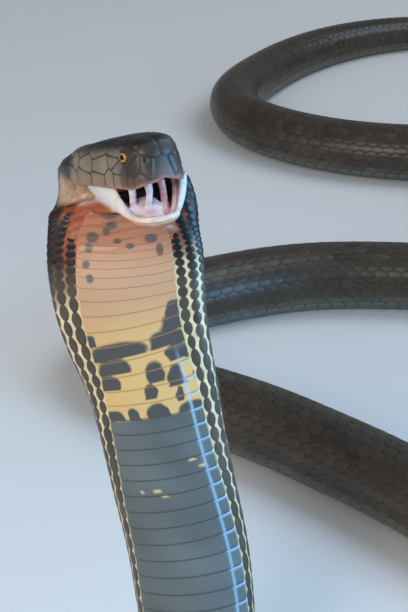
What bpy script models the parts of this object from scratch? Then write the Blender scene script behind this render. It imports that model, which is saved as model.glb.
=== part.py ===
"""King cobra, life size, reared up with its hood spread and its mouth open.

The origin is on the floor where the raised neck comes down to it. +Z is up, the hood faces -Y and the
tail lies towards +Y. The tables are in centimetres, and CM turns them to metres.
"""
import math

import bmesh
import bpy
import numpy as np
from mathutils import Vector

CM = 0.01
GAP = 0.03
MERGE_REACH_METRES = 0.00002
SHARP_ANGLE = 35.0
COLLECTION = "king_cobra"

# Head: its frame, then sizes along it, from the lip at the tip of the snout backwards
SNOUT = (-14.65, -4.0, 50.46)
HEAD_YAW = 61.0
HEAD_PITCH = 20.0
HEAD_LENGTH = 8.6
OCCIPUT_RISE = 1.30
SNOUT_ROUND = 1.3
SNOUT_POWER = 2.6
SPINE_START = 1.7
HEAD_WIDTH = [(0.0, 1.78), (1.3, 1.88), (2.2, 1.98), (3.0, 2.10), (4.0, 2.34), (5.0, 2.62), (6.0, 2.84),
              (7.0, 2.96), (8.0, 2.90), (8.6, 2.74)]
CROWN_HEIGHT = [(0.0, 2.80), (1.0, 2.98), (2.0, 3.06), (4.0, 3.04), (6.0, 2.90), (7.5, 2.70), (8.6, 2.56)]
LIP_HEIGHT = [(0.0, -0.10), (0.4, -0.22), (1.0, -0.38), (1.8, -0.42), (3.0, -0.34), (5.0, -0.12), (6.5, 0.0),
              (8.6, 0.0)]
LIP_ARCH = 0.20
LIP_ARCH_WIDTH = 0.45
# How far in from the outline and how far up towards the crown, from the lip to the middle of the crown
HEAD_PROFILE = [(0.02, 0.0), (-0.02, 0.07), (-0.03, 0.22), (-0.01, 0.40), (0.02, 0.58), (0.07, 0.74),
                (0.16, 0.87), (0.34, 0.955), (0.65, 0.995), (1.0, 1.0)]
# How far in from the outline and how high over the lip, from the lip to the middle of the palate
PALATE_PROFILE = [(0.08, 0.02), (0.16, 0.16), (0.40, 0.40), (0.70, 0.52), (1.0, 0.55)]
EYE_AT = (2.10, 1.64, 1.80)
EYE_RADIUS = 0.44
EYE_SEGMENTS = 16
EYE_RINGS = 10
NOSTRIL_AT = (0.30, 1.08, 1.50)
NOSTRIL_RADIUS = 0.15
NOSTRIL_SEGMENTS = 10
NOSTRIL_RINGS = 6
HEAD_FRONT_STEPS = 9
HEAD_SIDE_STEPS = 16

# Lower jaw: its frame, then the two sides, because the far side is swung out
CHIN = (-14.95, -4.05, 47.62)
JAW_YAW = 68.0
JAW_PITCH = 3.0
JAW_LENGTH = 7.4
CHIN_ROUND = 1.1
NEAR_JAW_WIDTH = [(0.0, 1.55), (1.1, 1.68), (3.0, 2.15), (5.0, 2.62), (7.4, 2.90)]
FAR_JAW_WIDTH = [(0.0, 1.55), (1.1, 1.78), (2.0, 2.35), (3.0, 2.95), (4.0, 3.35), (6.0, 3.55), (7.4, 3.30)]
RIM_RISE_FROM = 1.2
NEAR_RIM_RISE_TO = 6.0
FAR_RIM_RISE_TO = 5.3
JAW_FRONT_STEPS = 8
JAW_SIDE_STEPS = 12
# The cut that parts the jaw from the throat: how far back, and its reach to each side, down and up
JAW_REAR_CUT = 6.3
JAW_CUT_SIDE = 8.0
JAW_CUT_LOW = -4.2
JAW_CUT_HIGH = 4.0

# The throat that fills the bend under the head: middle line, then half width and half thickness
THROAT = [
    (-16.60, 0.00, 46.42, 2.00, 0.25), (-17.10, 1.30, 46.10, 2.50, 0.55), (-17.55, 2.60, 45.30, 3.10, 1.00),
    (-17.80, 3.50, 43.90, 3.70, 1.10), (-17.80, 3.80, 42.20, 4.00, 0.80), (-17.70, 3.65, 40.60, 4.10, 0.50),
]
THROAT_STEP = 20.0

# Layers of the jaw from the middle of its floor over the rim to the middle of its underside:
# how far in from the outline, height over the rim at the chin, share of the rim's rise
RIM_RISE = 3.0
JAW_POWER = 2.4
JAW_SPINE_START = 1.6
JAW_LAYERS = [(1.0, -0.62, 0.0), (0.60, -0.60, 0.0), (0.30, -0.45, 0.1), (0.17, -0.10, 0.8), (0.08, 0.04, 1.0),
              (0.0, 0.0, 1.0), (-0.04, -0.16, 0.85), (-0.02, -0.40, 0.5), (0.12, -0.66, 0.2), (0.35, -0.88, 0.0),
              (1.0, -1.0, 0.0)]
LINING_LENGTH = 5.6
LINING_LAYERS = [(1.0, -0.25, 0.0), (0.84, -0.32, 0.0), (0.70, -0.40, 0.0), (0.60, -0.18, 0.0),
                 (0.50, -0.20, 0.05), (0.44, -0.32, 0.08), (0.46, -0.42, 0.07), (0.62, -0.53, 0.0),
                 (1.0, -0.56, 0.0)]

# The middle line of the body after the back of the head: down the neck, then along the floor
RAISED_ROUTE = [
    (-19.15, 4.75, 47.90), (-18.45, 5.50, 46.50), (-17.85, 5.25, 44.80), (-17.75, 4.50, 42.80),
    (-17.60, 3.75, 40.40), (-17.35, 3.15, 38.00), (-16.85, 2.70, 35.60), (-16.00, 2.30, 32.60),
    (-15.35, 2.05, 29.50), (-14.10, 2.00, 22.90), (-13.15, 2.00, 17.80), (-12.55, 1.95, 12.60),
    (-11.75, 1.80, 8.60), (-9.60, 1.50, 5.50), (-6.30, 1.00, 3.90), (-2.60, 0.35, 3.25),
]
FLOOR_ROUTE = [
    (1.5, -0.1), (6.5, -0.5), (11.5, 0.3), (16.5, 2.8), (20.2, 7.2), (21.2, 13.2), (18.9, 19.8), (13.3, 27.0),
    (6.3, 36.2), (-1.3, 44.2), (-8.2, 50.4), (-14.6, 55.0), (-19.2, 60.2), (-20.4, 66.4), (-16.6, 73.2),
    (-9.5, 77.7), (-2.5, 80.1), (7.5, 80.5), (16.0, 80.0), (24.0, 81.5), (30.0, 86.5), (32.2, 94.0),
    (30.0, 102.2), (23.8, 108.4), (16.5, 111.1), (8.9, 112.2), (2.7, 114.0), (-3.2, 117.4), (-7.4, 122.2),
    (-8.5, 128.2), (-6.0, 134.8), (-1.5, 141.6), (5.0, 147.4), (12.3, 150.6), (20.5, 151.2), (28.8, 148.6),
    (35.0, 143.0), (38.0, 135.5), (37.8, 127.5), (34.8, 120.0),
]
SAMPLES_A_SPAN = 24
DIRECTION_REACH = 0.25
NECK_BELLY_WAY = (0.0, -1.0, -0.05)
FLOOR_BELLY_WAY = (0.0, 0.0, -1.0)

# Girth by distance along the body: half width, belly depth, back depth, thickness left in the hood's wings
GIRTH = [
    (0.0, 2.72, 1.28, 1.26, 1.00), (1.6, 3.25, 1.40, 1.30, 0.95), (3.2, 4.55, 1.50, 1.40, 0.80),
    (4.8, 5.15, 1.45, 1.55, 0.60), (7.0, 5.45, 1.35, 1.75, 0.45), (9.5, 5.66, 1.30, 1.90, 0.40),
    (12.0, 5.55, 1.35, 2.00, 0.42), (15.0, 5.25, 1.50, 2.10, 0.52), (18.5, 4.80, 1.75, 2.15, 0.70),
    (22.0, 4.62, 2.00, 2.20, 0.85), (28.0, 4.55, 2.20, 2.30, 0.95), (38.0, 4.40, 2.45, 2.50, 1.00),
    (46.0, 4.00, 2.90, 2.90, 1.00), (55.0, 3.60, 3.20, 3.20, 1.00), (80.0, 3.55, 3.35, 3.35, 1.00),
    (108.0, 3.72, 3.55, 3.55, 1.00), (150.0, 3.60, 3.40, 3.40, 1.00), (180.0, 3.45, 3.30, 3.30, 1.00),
    (240.0, 3.28, 3.15, 3.15, 1.00), (290.0, 2.60, 2.48, 2.48, 1.00), (320.0, 1.85, 1.72, 1.72, 1.00),
    (340.0, 1.15, 1.08, 1.08, 1.00), (352.0, 0.70, 0.66, 0.66, 1.00), (362.0, 0.30, 0.30, 0.30, 1.00),
]
RIDGE_WIDTH = 0.45
BELLY_FLAT = 0.93
HEAD_TURN_ENDS = 6.5
NAPE_FREE_BELOW = -1.2
NAPE_HELD_ABOVE = -0.4
BEND_STARTS = 36.0
BEND_ENDS = 54.0
LEVEL_FROM = 48.0

# Belly scutes of the raised part: where they start and end, their length by distance along the body,
# and how many degrees round the belly they reach
SCUTES_FROM = 7.6
SCUTES_TO = 50.0
SCUTE_LENGTH = [(7.6, 0.45), (9.4, 0.60), (12.0, 0.95), (15.0, 1.12), (20.0, 1.13), (24.0, 1.26), (28.0, 1.38),
                (60.0, 1.42)]
SCUTE_REACH = [(10.0, 38.0), (16.0, 42.0), (20.0, 47.0), (24.0, 51.0), (28.0, 56.0), (34.0, 61.0), (80.0, 60.0)]
SCUTE_RISE = 0.08
SCUTE_STEP = 0.04
PLAIN_STEP = 1.1
# Points of a ring on its scute, on each flank and across the back, and the angle where the back begins
SCUTE_COLUMNS = 7
FLANK_COLUMNS = 4
BACK_COLUMNS = 9
FLANK_ENDS = 100.0

# Cuts between the named lengths, as distances along the body
RAISED_NODES = ["hood_top", "hood_middle", "hood_lower", "neck_upper", "neck_lower", "neck_bend"]
RAISED_CUTS = [12.0, 19.5, 28.0, 37.0, 46.0]
FLOOR_CUTS = [58.0, 76.0, 92.0, 116.0, 140.0, 156.0, 172.0, 196.0, 212.0, 228.0, 252.0, 272.0, 286.0, 308.0, 330.0]
TAIL_FROM = 272.0
FLOOR_RING_STEP = 2.6
FLOOR_COLUMNS = 20
TIP_COLUMNS = 12

# Colour and roughness of the parts by the first word of their name
LOOKS = {
    "head": ((0.10, 0.095, 0.075), 0.35), "lower": ((0.80, 0.74, 0.62), 0.45), "mouth": ((0.75, 0.48, 0.48), 0.3),
    "eye": ((0.55, 0.38, 0.14), 0.1), "hood": ((0.72, 0.55, 0.33), 0.4), "neck": ((0.30, 0.32, 0.33), 0.4),
    "body": ((0.09, 0.08, 0.065), 0.4), "tail": ((0.08, 0.075, 0.065), 0.4),
}


def smoothstep(value, low, high):
    """Rises from 0 at low to 1 at high with level ends."""
    part = np.clip((np.asarray(value, float) - low) / (high - low), 0.0, 1.0)
    return part * part * (3.0 - 2.0 * part)


def curve_through(keys, at):
    """A smooth curve through rows of (position, value, value, ...), read at the positions given."""
    table = np.asarray(keys, float)
    keyed = table[:, 0]
    values = table[:, 1:]
    slope = np.gradient(values, keyed, axis=0)
    at = np.clip(np.asarray(at, float), keyed[0], keyed[-1])
    left = np.clip(np.searchsorted(keyed, at, side="right") - 1, 0, len(keyed) - 2)
    span = (keyed[left + 1] - keyed[left])[..., None]
    part = (at - keyed[left])[..., None] / span
    start = values[left] * (1 + 2 * part) * (1 - part) ** 2 + slope[left] * span * part * (1 - part) ** 2
    end = values[left + 1] * part ** 2 * (3 - 2 * part) - slope[left + 1] * span * part ** 2 * (1 - part)
    return (start + end)[..., 0] if values.shape[1] == 1 else start + end


def axes_of(yaw, pitch):
    """Forward, far side and up of a frame turned from +X towards -Y and tipped up."""
    turn = math.radians(yaw)
    tip = math.radians(pitch)
    forward = np.array([math.cos(tip) * math.cos(turn), -math.cos(tip) * math.sin(turn), math.sin(tip)])
    side = np.array([math.sin(turn), math.cos(turn), 0.0])
    up = np.array([-math.sin(tip) * math.cos(turn), math.sin(tip) * math.sin(turn), math.cos(tip)])
    return forward, side, up


HEAD_AXES = axes_of(HEAD_YAW, HEAD_PITCH)
JAW_AXES = axes_of(JAW_YAW, JAW_PITCH)


def place(origin, axes, back, side, rise):
    """World centimetres of points given as distance back, to the far side and up in a frame."""
    forward, across, up = axes
    return (np.asarray(origin) - np.multiply.outer(back, forward) + np.multiply.outer(side, across)
            + np.multiply.outer(rise, up))


def lip_height(back, side):
    """Height of the upper lip's edge: lowest beside the fangs, with a notch at the tip."""
    arch = LIP_ARCH * np.exp(-(side / LIP_ARCH_WIDTH) ** 2) * (back < SNOUT_ROUND)
    return curve_through(LIP_HEIGHT, back) + arch


def head_point(back, side, rise):
    return place(SNOUT, HEAD_AXES, back, side, rise)


def in_head(points):
    """Distance back, to the far side and up in the head's frame of world points."""
    forward, across, up = HEAD_AXES
    offset = points - np.asarray(SNOUT)
    return -(offset @ forward), offset @ across, offset @ up


def unit(vectors):
    return vectors / np.linalg.norm(vectors, axis=-1, keepdims=True)


def natural_spline(points, start_slope, per_span):
    """A smooth curve through 3-D points that leaves the first one in a given direction."""
    points = np.asarray(points, float)
    chord = np.concatenate([[0.0], np.cumsum(np.linalg.norm(np.diff(points, axis=0), axis=1))])
    count = len(points)
    step = np.diff(chord)
    system = np.zeros((count, count))
    right = np.zeros((count, 3))
    system[0, 0] = 2 * step[0]
    system[0, 1] = step[0]
    right[0] = 6 * ((points[1] - points[0]) / step[0] - start_slope)
    system[-1, -1] = 1.0
    for i in range(1, count - 1):
        system[i, i - 1] = step[i - 1]
        system[i, i] = 2 * (step[i - 1] + step[i])
        system[i, i + 1] = step[i]
        right[i] = 6 * ((points[i + 1] - points[i]) / step[i] - (points[i] - points[i - 1]) / step[i - 1])
    bend = np.linalg.solve(system, right)
    samples = []
    for i in range(count - 1):
        part = np.linspace(0.0, 1.0, per_span, endpoint=False)[:, None]
        rest = 1.0 - part
        samples.append(rest * points[i] + part * points[i + 1]
                       + step[i] ** 2 / 6 * ((rest ** 3 - rest) * bend[i] + (part ** 3 - part) * bend[i + 1]))
    samples.append(points[-1:])
    return np.concatenate(samples)


def middle_line():
    """Distances along the body and the points of its middle line, in centimetres."""
    neck = [tuple(head_point(HEAD_LENGTH, 0.0, OCCIPUT_RISE))] + RAISED_ROUTE
    floor = [(x, y, RAISED_ROUTE[-1][2]) for x, y in FLOOR_ROUTE]
    line = natural_spline(neck + floor, -HEAD_AXES[0], SAMPLES_A_SPAN)
    along = np.concatenate([[0.0], np.cumsum(np.linalg.norm(np.diff(line, axis=0), axis=1))])
    lying = smoothstep(along, LEVEL_FROM, BEND_ENDS)
    line[:, 2] += lying * (BELLY_FLAT * curve_through(GIRTH, along)[:, 1] - line[:, 2])
    return along, line


ALONG, LINE = middle_line()
BODY_LENGTH = ALONG[-1]


def frame_at(distance):
    """Point, direction to the tail, belly direction and width direction at distances along the body."""
    distance = np.atleast_1d(np.asarray(distance, float))
    point = np.stack([np.interp(distance, ALONG, LINE[:, k]) for k in range(3)], axis=1)
    ahead = np.clip(distance + DIRECTION_REACH, 0, BODY_LENGTH)
    behind = np.clip(distance - DIRECTION_REACH, 0, BODY_LENGTH)
    tail = unit(np.stack([np.interp(ahead, ALONG, LINE[:, k]) - np.interp(behind, ALONG, LINE[:, k])
                          for k in range(3)], axis=1))
    tail[distance < DIRECTION_REACH] = -HEAD_AXES[0]
    turned = smoothstep(distance, 0.0, HEAD_TURN_ENDS)[:, None]
    lying = smoothstep(distance, BEND_STARTS, BEND_ENDS)[:, None]
    hint = (1 - turned) * -HEAD_AXES[2] + turned * np.array(NECK_BELLY_WAY)
    hint = (1 - lying) * hint + lying * np.array(FLOOR_BELLY_WAY)
    belly = unit(hint - np.sum(hint * tail, axis=1, keepdims=True) * tail)
    return point, tail, belly, np.cross(belly, tail)


def behind_head(points):
    """Keeps the nape's points behind the flat back of the head."""
    back, _, rise = in_head(points)
    nape = smoothstep(rise, NAPE_FREE_BELOW, NAPE_HELD_ABOVE) * (back > HEAD_LENGTH - HEAD_TURN_ENDS)
    short = np.maximum(HEAD_LENGTH + GAP / 2 - back, 0.0)
    return points - (nape * short)[..., None] * HEAD_AXES[0]


def section(distance, angle, proud=0.0):
    """Points of the body's surface: angle is 0 at the middle of the belly and 180 at the back."""
    distance = np.atleast_1d(distance)
    point, _, belly, across = frame_at(distance)
    half, under, over, wing = curve_through(GIRTH, distance).T
    angle = np.radians(np.asarray(angle, float))
    side = np.sin(angle)
    ridge = np.exp(-(side / RIDGE_WIDTH) ** 2)
    wing = wing[:, None]
    back = over[:, None] * (wing + (1 - wing) * ridge)
    depth = np.cos(angle) * np.where(np.cos(angle) > 0, under[:, None] + proud, back)
    rows = (point[:, None] + (half[:, None] * side)[..., None] * across[:, None]
            + depth[..., None] * belly[:, None])
    rows[..., 2] = np.maximum(rows[..., 2], 0.0)
    return behind_head(rows)


def new_object(name, mesh):
    thing = bpy.data.objects.new(name, mesh)
    bpy.data.collections[COLLECTION].objects.link(thing)
    return thing


def mesh_from(name, points, faces):
    """A closed mesh in metres from points in centimetres, its doubles merged and its faces outward."""
    mesh = bpy.data.meshes.new(name)
    mesh.from_pydata([tuple(p) for p in np.asarray(points) * CM], [], faces)
    shape = bmesh.new()
    shape.from_mesh(mesh)
    bmesh.ops.remove_doubles(shape, verts=shape.verts, dist=MERGE_REACH_METRES)
    bmesh.ops.dissolve_degenerate(shape, edges=shape.edges, dist=MERGE_REACH_METRES)
    bmesh.ops.recalc_face_normals(shape, faces=shape.faces)
    shape.to_mesh(mesh)
    shape.free()
    return mesh


def loft(name, rings):
    """A closed body through rings of points, with a flat cap at each end."""
    rows, count = rings.shape[:2]
    faces = []
    for row in range(rows - 1):
        for k in range(count):
            following = (k + 1) % count
            corners = (row * count + k, row * count + following, (row + 1) * count + following,
                       (row + 1) * count + k)
            faces.append((corners[0], corners[1], corners[2]))
            faces.append((corners[0], corners[2], corners[3]))
    faces.append(tuple(range(count)))
    faces.append(tuple((rows - 1) * count + k for k in reversed(range(count))))
    return new_object(name, mesh_from(name, rings.reshape(-1, 3), faces))


def ring_angles(distance):
    """Angles round the body, the scute's own first, from its left end to its right one."""
    reach = float(curve_through(SCUTE_REACH, distance))
    front = np.linspace(-reach, reach, SCUTE_COLUMNS)
    flank = np.linspace(reach, FLANK_ENDS, FLANK_COLUMNS + 1)[1:]
    rear = np.linspace(FLANK_ENDS, 360.0 - FLANK_ENDS, BACK_COLUMNS + 1)[1:-1]
    return np.concatenate([front, flank, rear, 360.0 - flank[::-1]])


def scute_edges():
    """Distances of the front edges of the scutes on the raised part."""
    edges = [SCUTES_FROM]
    while edges[-1] < SCUTES_TO:
        edges.append(edges[-1] + float(curve_through(SCUTE_LENGTH, edges[-1])))
    return edges


def raised_length(name, start, end):
    """A length of the raised neck, with each scute of the belly stepping over the next."""
    columns = len(ring_angles(start))
    on_scute = np.arange(columns) < SCUTE_COLUMNS
    stops = [(start, 0.0)]
    edges = scute_edges()
    for front, rear in zip(edges, edges[1:]):
        stops.append((front + SCUTE_STEP, 0.0))
        stops.append((rear - SCUTE_STEP, SCUTE_RISE))
    if start < SCUTES_FROM:
        stops += [(d, 0.0) for d in np.arange(start + PLAIN_STEP, SCUTES_FROM - PLAIN_STEP / 3, PLAIN_STEP)]
    if end > edges[-1]:
        stops += [(d, 0.0) for d in np.arange(edges[-1] + PLAIN_STEP, end - PLAIN_STEP / 3, PLAIN_STEP)]
    stops = sorted(stop for stop in stops if start <= stop[0] < end - 2 * SCUTE_STEP)
    stops.append((end, 0.0))
    rings = [section(d, ring_angles(d), proud=rise * on_scute)[0] for d, rise in stops]
    return loft(name, np.array(rings))


def floor_length(name, start, end):
    count = max(2, int(round((end - start) / FLOOR_RING_STEP)) + 1)
    angles = (np.arange(FLOOR_COLUMNS) + 0.5) * 360.0 / FLOOR_COLUMNS
    return loft(name, section(np.linspace(start, end, count), angles))


def tail_tip(name, start):
    """The last length of the tail, closed to a blunt point."""
    stops = np.concatenate([np.arange(start, BODY_LENGTH - 1.0, FLOOR_RING_STEP), [BODY_LENGTH]])
    angles = (np.arange(TIP_COLUMNS) + 0.5) * 360.0 / TIP_COLUMNS
    return loft(name, section(stops, angles))


def outline(length, rounding, power, near_width, far_width, front_steps, side_steps):
    """Points round a head seen from above, from the near rear corner past the tip to the far one."""
    turn = np.linspace(0.0, math.pi / 2, front_steps + 1)
    front_back = rounding * (1.0 - np.cos(turn) ** (2.0 / power))
    front_side = np.sin(turn) ** (2.0 / power)
    rest = np.linspace(rounding, length, side_steps + 1)[1:]
    back = np.concatenate([front_back, rest])
    swell = np.concatenate([front_side, np.ones(side_steps)])
    near = -swell * curve_through(near_width, back)
    far = swell * curve_through(far_width, back)
    return (np.concatenate([back[::-1], back[1:]]), np.concatenate([near[::-1], far[1:]]))


def spine_of(back, start):
    """Where the ray from each outline point meets the middle of the head."""
    return np.maximum(back, start)


def upper_head():
    """The skull with its upper lip: an outer dome and the roof of the mouth, closed at the back."""
    back, side = outline(HEAD_LENGTH - GAP, SNOUT_ROUND, SNOUT_POWER, HEAD_WIDTH, HEAD_WIDTH,
                         HEAD_FRONT_STEPS, HEAD_SIDE_STEPS)
    spine = spine_of(back, SPINE_START)
    lip = lip_height(back, side)
    layers = []
    for inward, rise in reversed(PALATE_PROFILE):
        layers.append((inward, lip + rise))
    for inward, up in HEAD_PROFILE:
        at = back + inward * (spine - back)
        layers.append((inward, lip * (1 - up) + up * curve_through(CROWN_HEIGHT, at)))
    grid = np.array([head_point(back + inward * (spine - back), side * (1 - inward), height)
                     for inward, height in layers])
    return new_object("head_upper", mesh_from("head_upper", *closed_grid(grid)))


def closed_grid(grid):
    """Points and faces of layers whose first and last meet on a middle line, with the back closed."""
    layers, count = grid.shape[:2]
    faces = []
    for layer in range(layers - 1):
        for k in range(count - 1):
            a = layer * count + k
            faces.append((a, a + 1, a + count + 1))
            faces.append((a, a + count + 1, a + count))
    near = [layer * count for layer in range(layers)]
    far = [layer * count + count - 1 for layer in range(layers)]
    faces.append(tuple(near + far[::-1][1:-1]))
    return grid.reshape(-1, 3), faces


def under_lip(points):
    """Keeps points of the lower jaw and throat a hair below the upper lip."""
    back, _, rise = in_head(points)
    limit = curve_through(LIP_HEIGHT, back) - 2 * GAP
    excess = np.maximum(rise - limit, 0.0)
    return points - excess[..., None] * HEAD_AXES[2]


def jaw_grid(length, layers):
    """Rows of jaw points from layers of (how far in, height, share of the rim's rise)."""
    back, side = outline(length, CHIN_ROUND, JAW_POWER, NEAR_JAW_WIDTH, FAR_JAW_WIDTH,
                         JAW_FRONT_STEPS, JAW_SIDE_STEPS)
    spine = spine_of(back, JAW_SPINE_START)
    rise = RIM_RISE * smoothstep(back, RIM_RISE_FROM, np.where(side < 0, NEAR_RIM_RISE_TO, FAR_RIM_RISE_TO))
    return np.array([under_lip(place(CHIN, JAW_AXES, back + inward * (spine - back), side * (1 - inward),
                                     height + share * rise)) for inward, height, share in layers])


def jaw_bowl():
    """The lower jaw as a bowl whose rim rises to the upper lip at the corners of the mouth."""
    return new_object("lower_jaw", mesh_from("lower_jaw", *closed_grid(jaw_grid(JAW_LENGTH, JAW_LAYERS))))


def mouth_floor():
    """The lining of the lower jaw, with its two gum ridges and the raised middle."""
    return new_object("mouth_floor", mesh_from("mouth_floor", *closed_grid(jaw_grid(LINING_LENGTH, LINING_LAYERS))))


def throat_shape():
    """A closed tube of oval sections through the inside of the bend under the head."""
    rows = np.array(THROAT)
    angles = np.radians(np.arange(0.0, 360.0, THROAT_STEP))
    heading = unit(np.gradient(rows[:, :3], axis=0))
    across = unit(np.cross(heading, np.cross(np.array([1.0, 0.0, 0.0]), heading)))
    facing = np.cross(across, heading)
    rings = (rows[:, None, :3] + (rows[:, 3:4] * np.cos(angles))[..., None] * across[:, None]
             + (rows[:, 4:5] * np.sin(angles))[..., None] * facing[:, None])
    return loft("throat", under_lip(rings))


def slab(name, origin, axes, back, thickness, half_width, low, high):
    """A thin box across a frame, as a cutter."""
    corners = [(back + end * thickness / 2, hand * half_width, rise)
               for end in (-1, 1) for hand in (-1, 1) for rise in (low, high)]
    at = np.array([place(origin, axes, *corner) for corner in corners])
    shape = bmesh.new()
    vertices = [shape.verts.new(Vector(p * CM)) for p in at]
    bmesh.ops.convex_hull(shape, input=vertices)
    bmesh.ops.recalc_face_normals(shape, faces=shape.faces)
    mesh = bpy.data.meshes.new(name)
    shape.to_mesh(mesh)
    shape.free()
    return new_object(name, mesh)


def islands(mesh):
    """The closed surfaces of a mesh, each as the list of its vertex numbers, largest first."""
    shape = bmesh.new()
    shape.from_mesh(mesh)
    unseen = set(shape.verts)
    found = []
    while unseen:
        todo = [unseen.pop()]
        group = []
        while todo:
            vertex = todo.pop()
            group.append(vertex.index)
            for edge in vertex.link_edges:
                other = edge.other_vert(vertex)
                if other in unseen:
                    unseen.remove(other)
                    todo.append(other)
        found.append(group)
    shape.free()
    return sorted(found, key=len, reverse=True)


def keep_vertices(thing, numbers):
    """Leaves only the vertices numbered and the faces on them."""
    wanted = set(numbers)
    shape = bmesh.new()
    shape.from_mesh(thing.data)
    bmesh.ops.delete(shape, geom=[v for v in shape.verts if v.index not in wanted], context="VERTS")
    shape.to_mesh(thing.data)
    shape.free()


def jaw_and_throat(hood_top):
    """Fuses the jaw and throat to the top of the hood, then parts the jaw off with a thin cut."""
    join(hood_top, [jaw_bowl(), throat_shape()])
    cutter = slab("jaw_cut", CHIN, JAW_AXES, JAW_REAR_CUT, GAP, JAW_CUT_SIDE, JAW_CUT_LOW, JAW_CUT_HIGH)
    cut(hood_top, cutter, "MANIFOLD")
    pieces = islands(hood_top.data)
    centre = [np.mean([hood_top.data.vertices[i].co for i in piece], axis=0) / CM for piece in pieces[:2]]
    chin_first = np.linalg.norm(centre[0] - CHIN) < np.linalg.norm(centre[1] - CHIN)
    jaw_piece, hood_piece = (pieces[0], pieces[1]) if chin_first else (pieces[1], pieces[0])
    jaw = new_object("lower_jaw", hood_top.data.copy())
    keep_vertices(jaw, jaw_piece)
    keep_vertices(hood_top, hood_piece)


def ball(name, centre, radius, segments, rings):
    mesh = bpy.data.meshes.new(name)
    shape = bmesh.new()
    bmesh.ops.create_uvsphere(shape, u_segments=segments, v_segments=rings, radius=radius * CM)
    bmesh.ops.translate(shape, verts=shape.verts, vec=Vector(np.asarray(centre) * CM))
    shape.to_mesh(mesh)
    shape.free()
    return new_object(name, mesh)


def cut(body, tool, solver="EXACT"):
    """Takes one closed mesh out of another and removes the cutter."""
    change = body.modifiers.new("cut", "BOOLEAN")
    change.operation = "DIFFERENCE"
    change.solver = solver
    change.object = tool
    apply_modifiers(body)
    bpy.data.objects.remove(tool)


def join(body, others):
    """Fuses closed meshes into one body."""
    group = bpy.data.collections.new("joined")
    for thing in others:
        group.objects.link(thing)
    change = body.modifiers.new("join", "BOOLEAN")
    change.operation = "UNION"
    change.solver = "MANIFOLD"
    change.operand_type = "COLLECTION"
    change.collection = group
    apply_modifiers(body)
    for thing in others:
        bpy.data.objects.remove(thing)
    bpy.data.collections.remove(group)


def apply_modifiers(body):
    ready = body.evaluated_get(bpy.context.evaluated_depsgraph_get())
    mesh = bpy.data.meshes.new_from_object(ready)
    body.modifiers.clear()
    body.data = mesh


def mirrored(place_in_head, far):
    back, side, rise = place_in_head
    return head_point(back, side if far else -side, rise)


def eyes_and_nostrils(head):
    """Sockets with an eye in each, and the two nostrils."""
    for far, name in ((False, "eye_near"), (True, "eye_far")):
        cut(head, ball("socket", mirrored(EYE_AT, far), EYE_RADIUS + GAP, EYE_SEGMENTS, EYE_RINGS))
        ball(name, mirrored(EYE_AT, far), EYE_RADIUS, EYE_SEGMENTS, EYE_RINGS)
        nostril = ball("nostril", mirrored(NOSTRIL_AT, far), NOSTRIL_RADIUS, NOSTRIL_SEGMENTS, NOSTRIL_RINGS)
        cut(head, nostril)


def body_lengths():
    cuts = [GAP] + RAISED_CUTS + [FLOOR_CUTS[0]]
    for name, start, end in zip(RAISED_NODES, cuts, cuts[1:]):
        raised_length(name, start, end - GAP)
    jaw_and_throat(bpy.data.objects[RAISED_NODES[0]])
    number = {"body": 0, "tail": 0}
    for start, end in zip(FLOOR_CUTS, FLOOR_CUTS[1:]):
        kind = "tail" if start >= TAIL_FROM else "body"
        number[kind] += 1
        floor_length(f"{kind}_{number[kind]}", start, end - GAP)
    tail_tip("tail_tip", FLOOR_CUTS[-1])


def paint(thing, name, colour, roughness):
    material = bpy.data.materials.new(name)
    material.use_nodes = True
    shader = material.node_tree.nodes["Principled BSDF"]
    shader.inputs["Base Color"].default_value = (*colour, 1.0)
    shader.inputs["Roughness"].default_value = roughness
    thing.data.materials.clear()
    thing.data.materials.append(material)


def paint_all():
    """Gives each part a material of its own."""
    for thing in bpy.data.collections[COLLECTION].objects:
        kind = thing.name.split("_")[0]
        paint(thing, thing.name, *LOOKS[kind])
        thing.data.shade_smooth()
        thing.data.set_sharp_from_angle(angle=math.radians(SHARP_ANGLE))


def main():
    for thing in list(bpy.data.objects):
        bpy.data.objects.remove(thing)
    group = bpy.data.collections.new(COLLECTION)
    bpy.context.scene.collection.children.link(group)
    head = upper_head()
    eyes_and_nostrils(head)
    mouth_floor()
    body_lengths()
    paint_all()


main()
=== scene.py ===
"""King cobra, life size: one skin with its scales, scutes, mouth and eyes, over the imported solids.

The tables are in centimetres, in the part's frame, and CM turns them to metres.
"""
import math

import bmesh
import bpy
import numpy as np
import mathutils.kdtree
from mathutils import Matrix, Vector
from mathutils.bvhtree import BVHTree


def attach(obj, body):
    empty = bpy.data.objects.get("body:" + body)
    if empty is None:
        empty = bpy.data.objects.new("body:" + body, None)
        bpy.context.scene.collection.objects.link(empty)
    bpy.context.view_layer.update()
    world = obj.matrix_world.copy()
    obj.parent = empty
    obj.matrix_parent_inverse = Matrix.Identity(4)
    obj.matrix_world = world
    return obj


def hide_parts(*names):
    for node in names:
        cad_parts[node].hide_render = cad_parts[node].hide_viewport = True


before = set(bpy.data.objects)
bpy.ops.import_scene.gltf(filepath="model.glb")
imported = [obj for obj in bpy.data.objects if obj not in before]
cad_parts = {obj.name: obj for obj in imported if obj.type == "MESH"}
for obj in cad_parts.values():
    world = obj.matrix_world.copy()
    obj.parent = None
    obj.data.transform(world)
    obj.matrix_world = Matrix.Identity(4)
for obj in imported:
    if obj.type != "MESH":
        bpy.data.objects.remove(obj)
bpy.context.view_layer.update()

CM = 0.01
GAP = 0.03
MERGE_REACH_METRES = 0.00002

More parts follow.
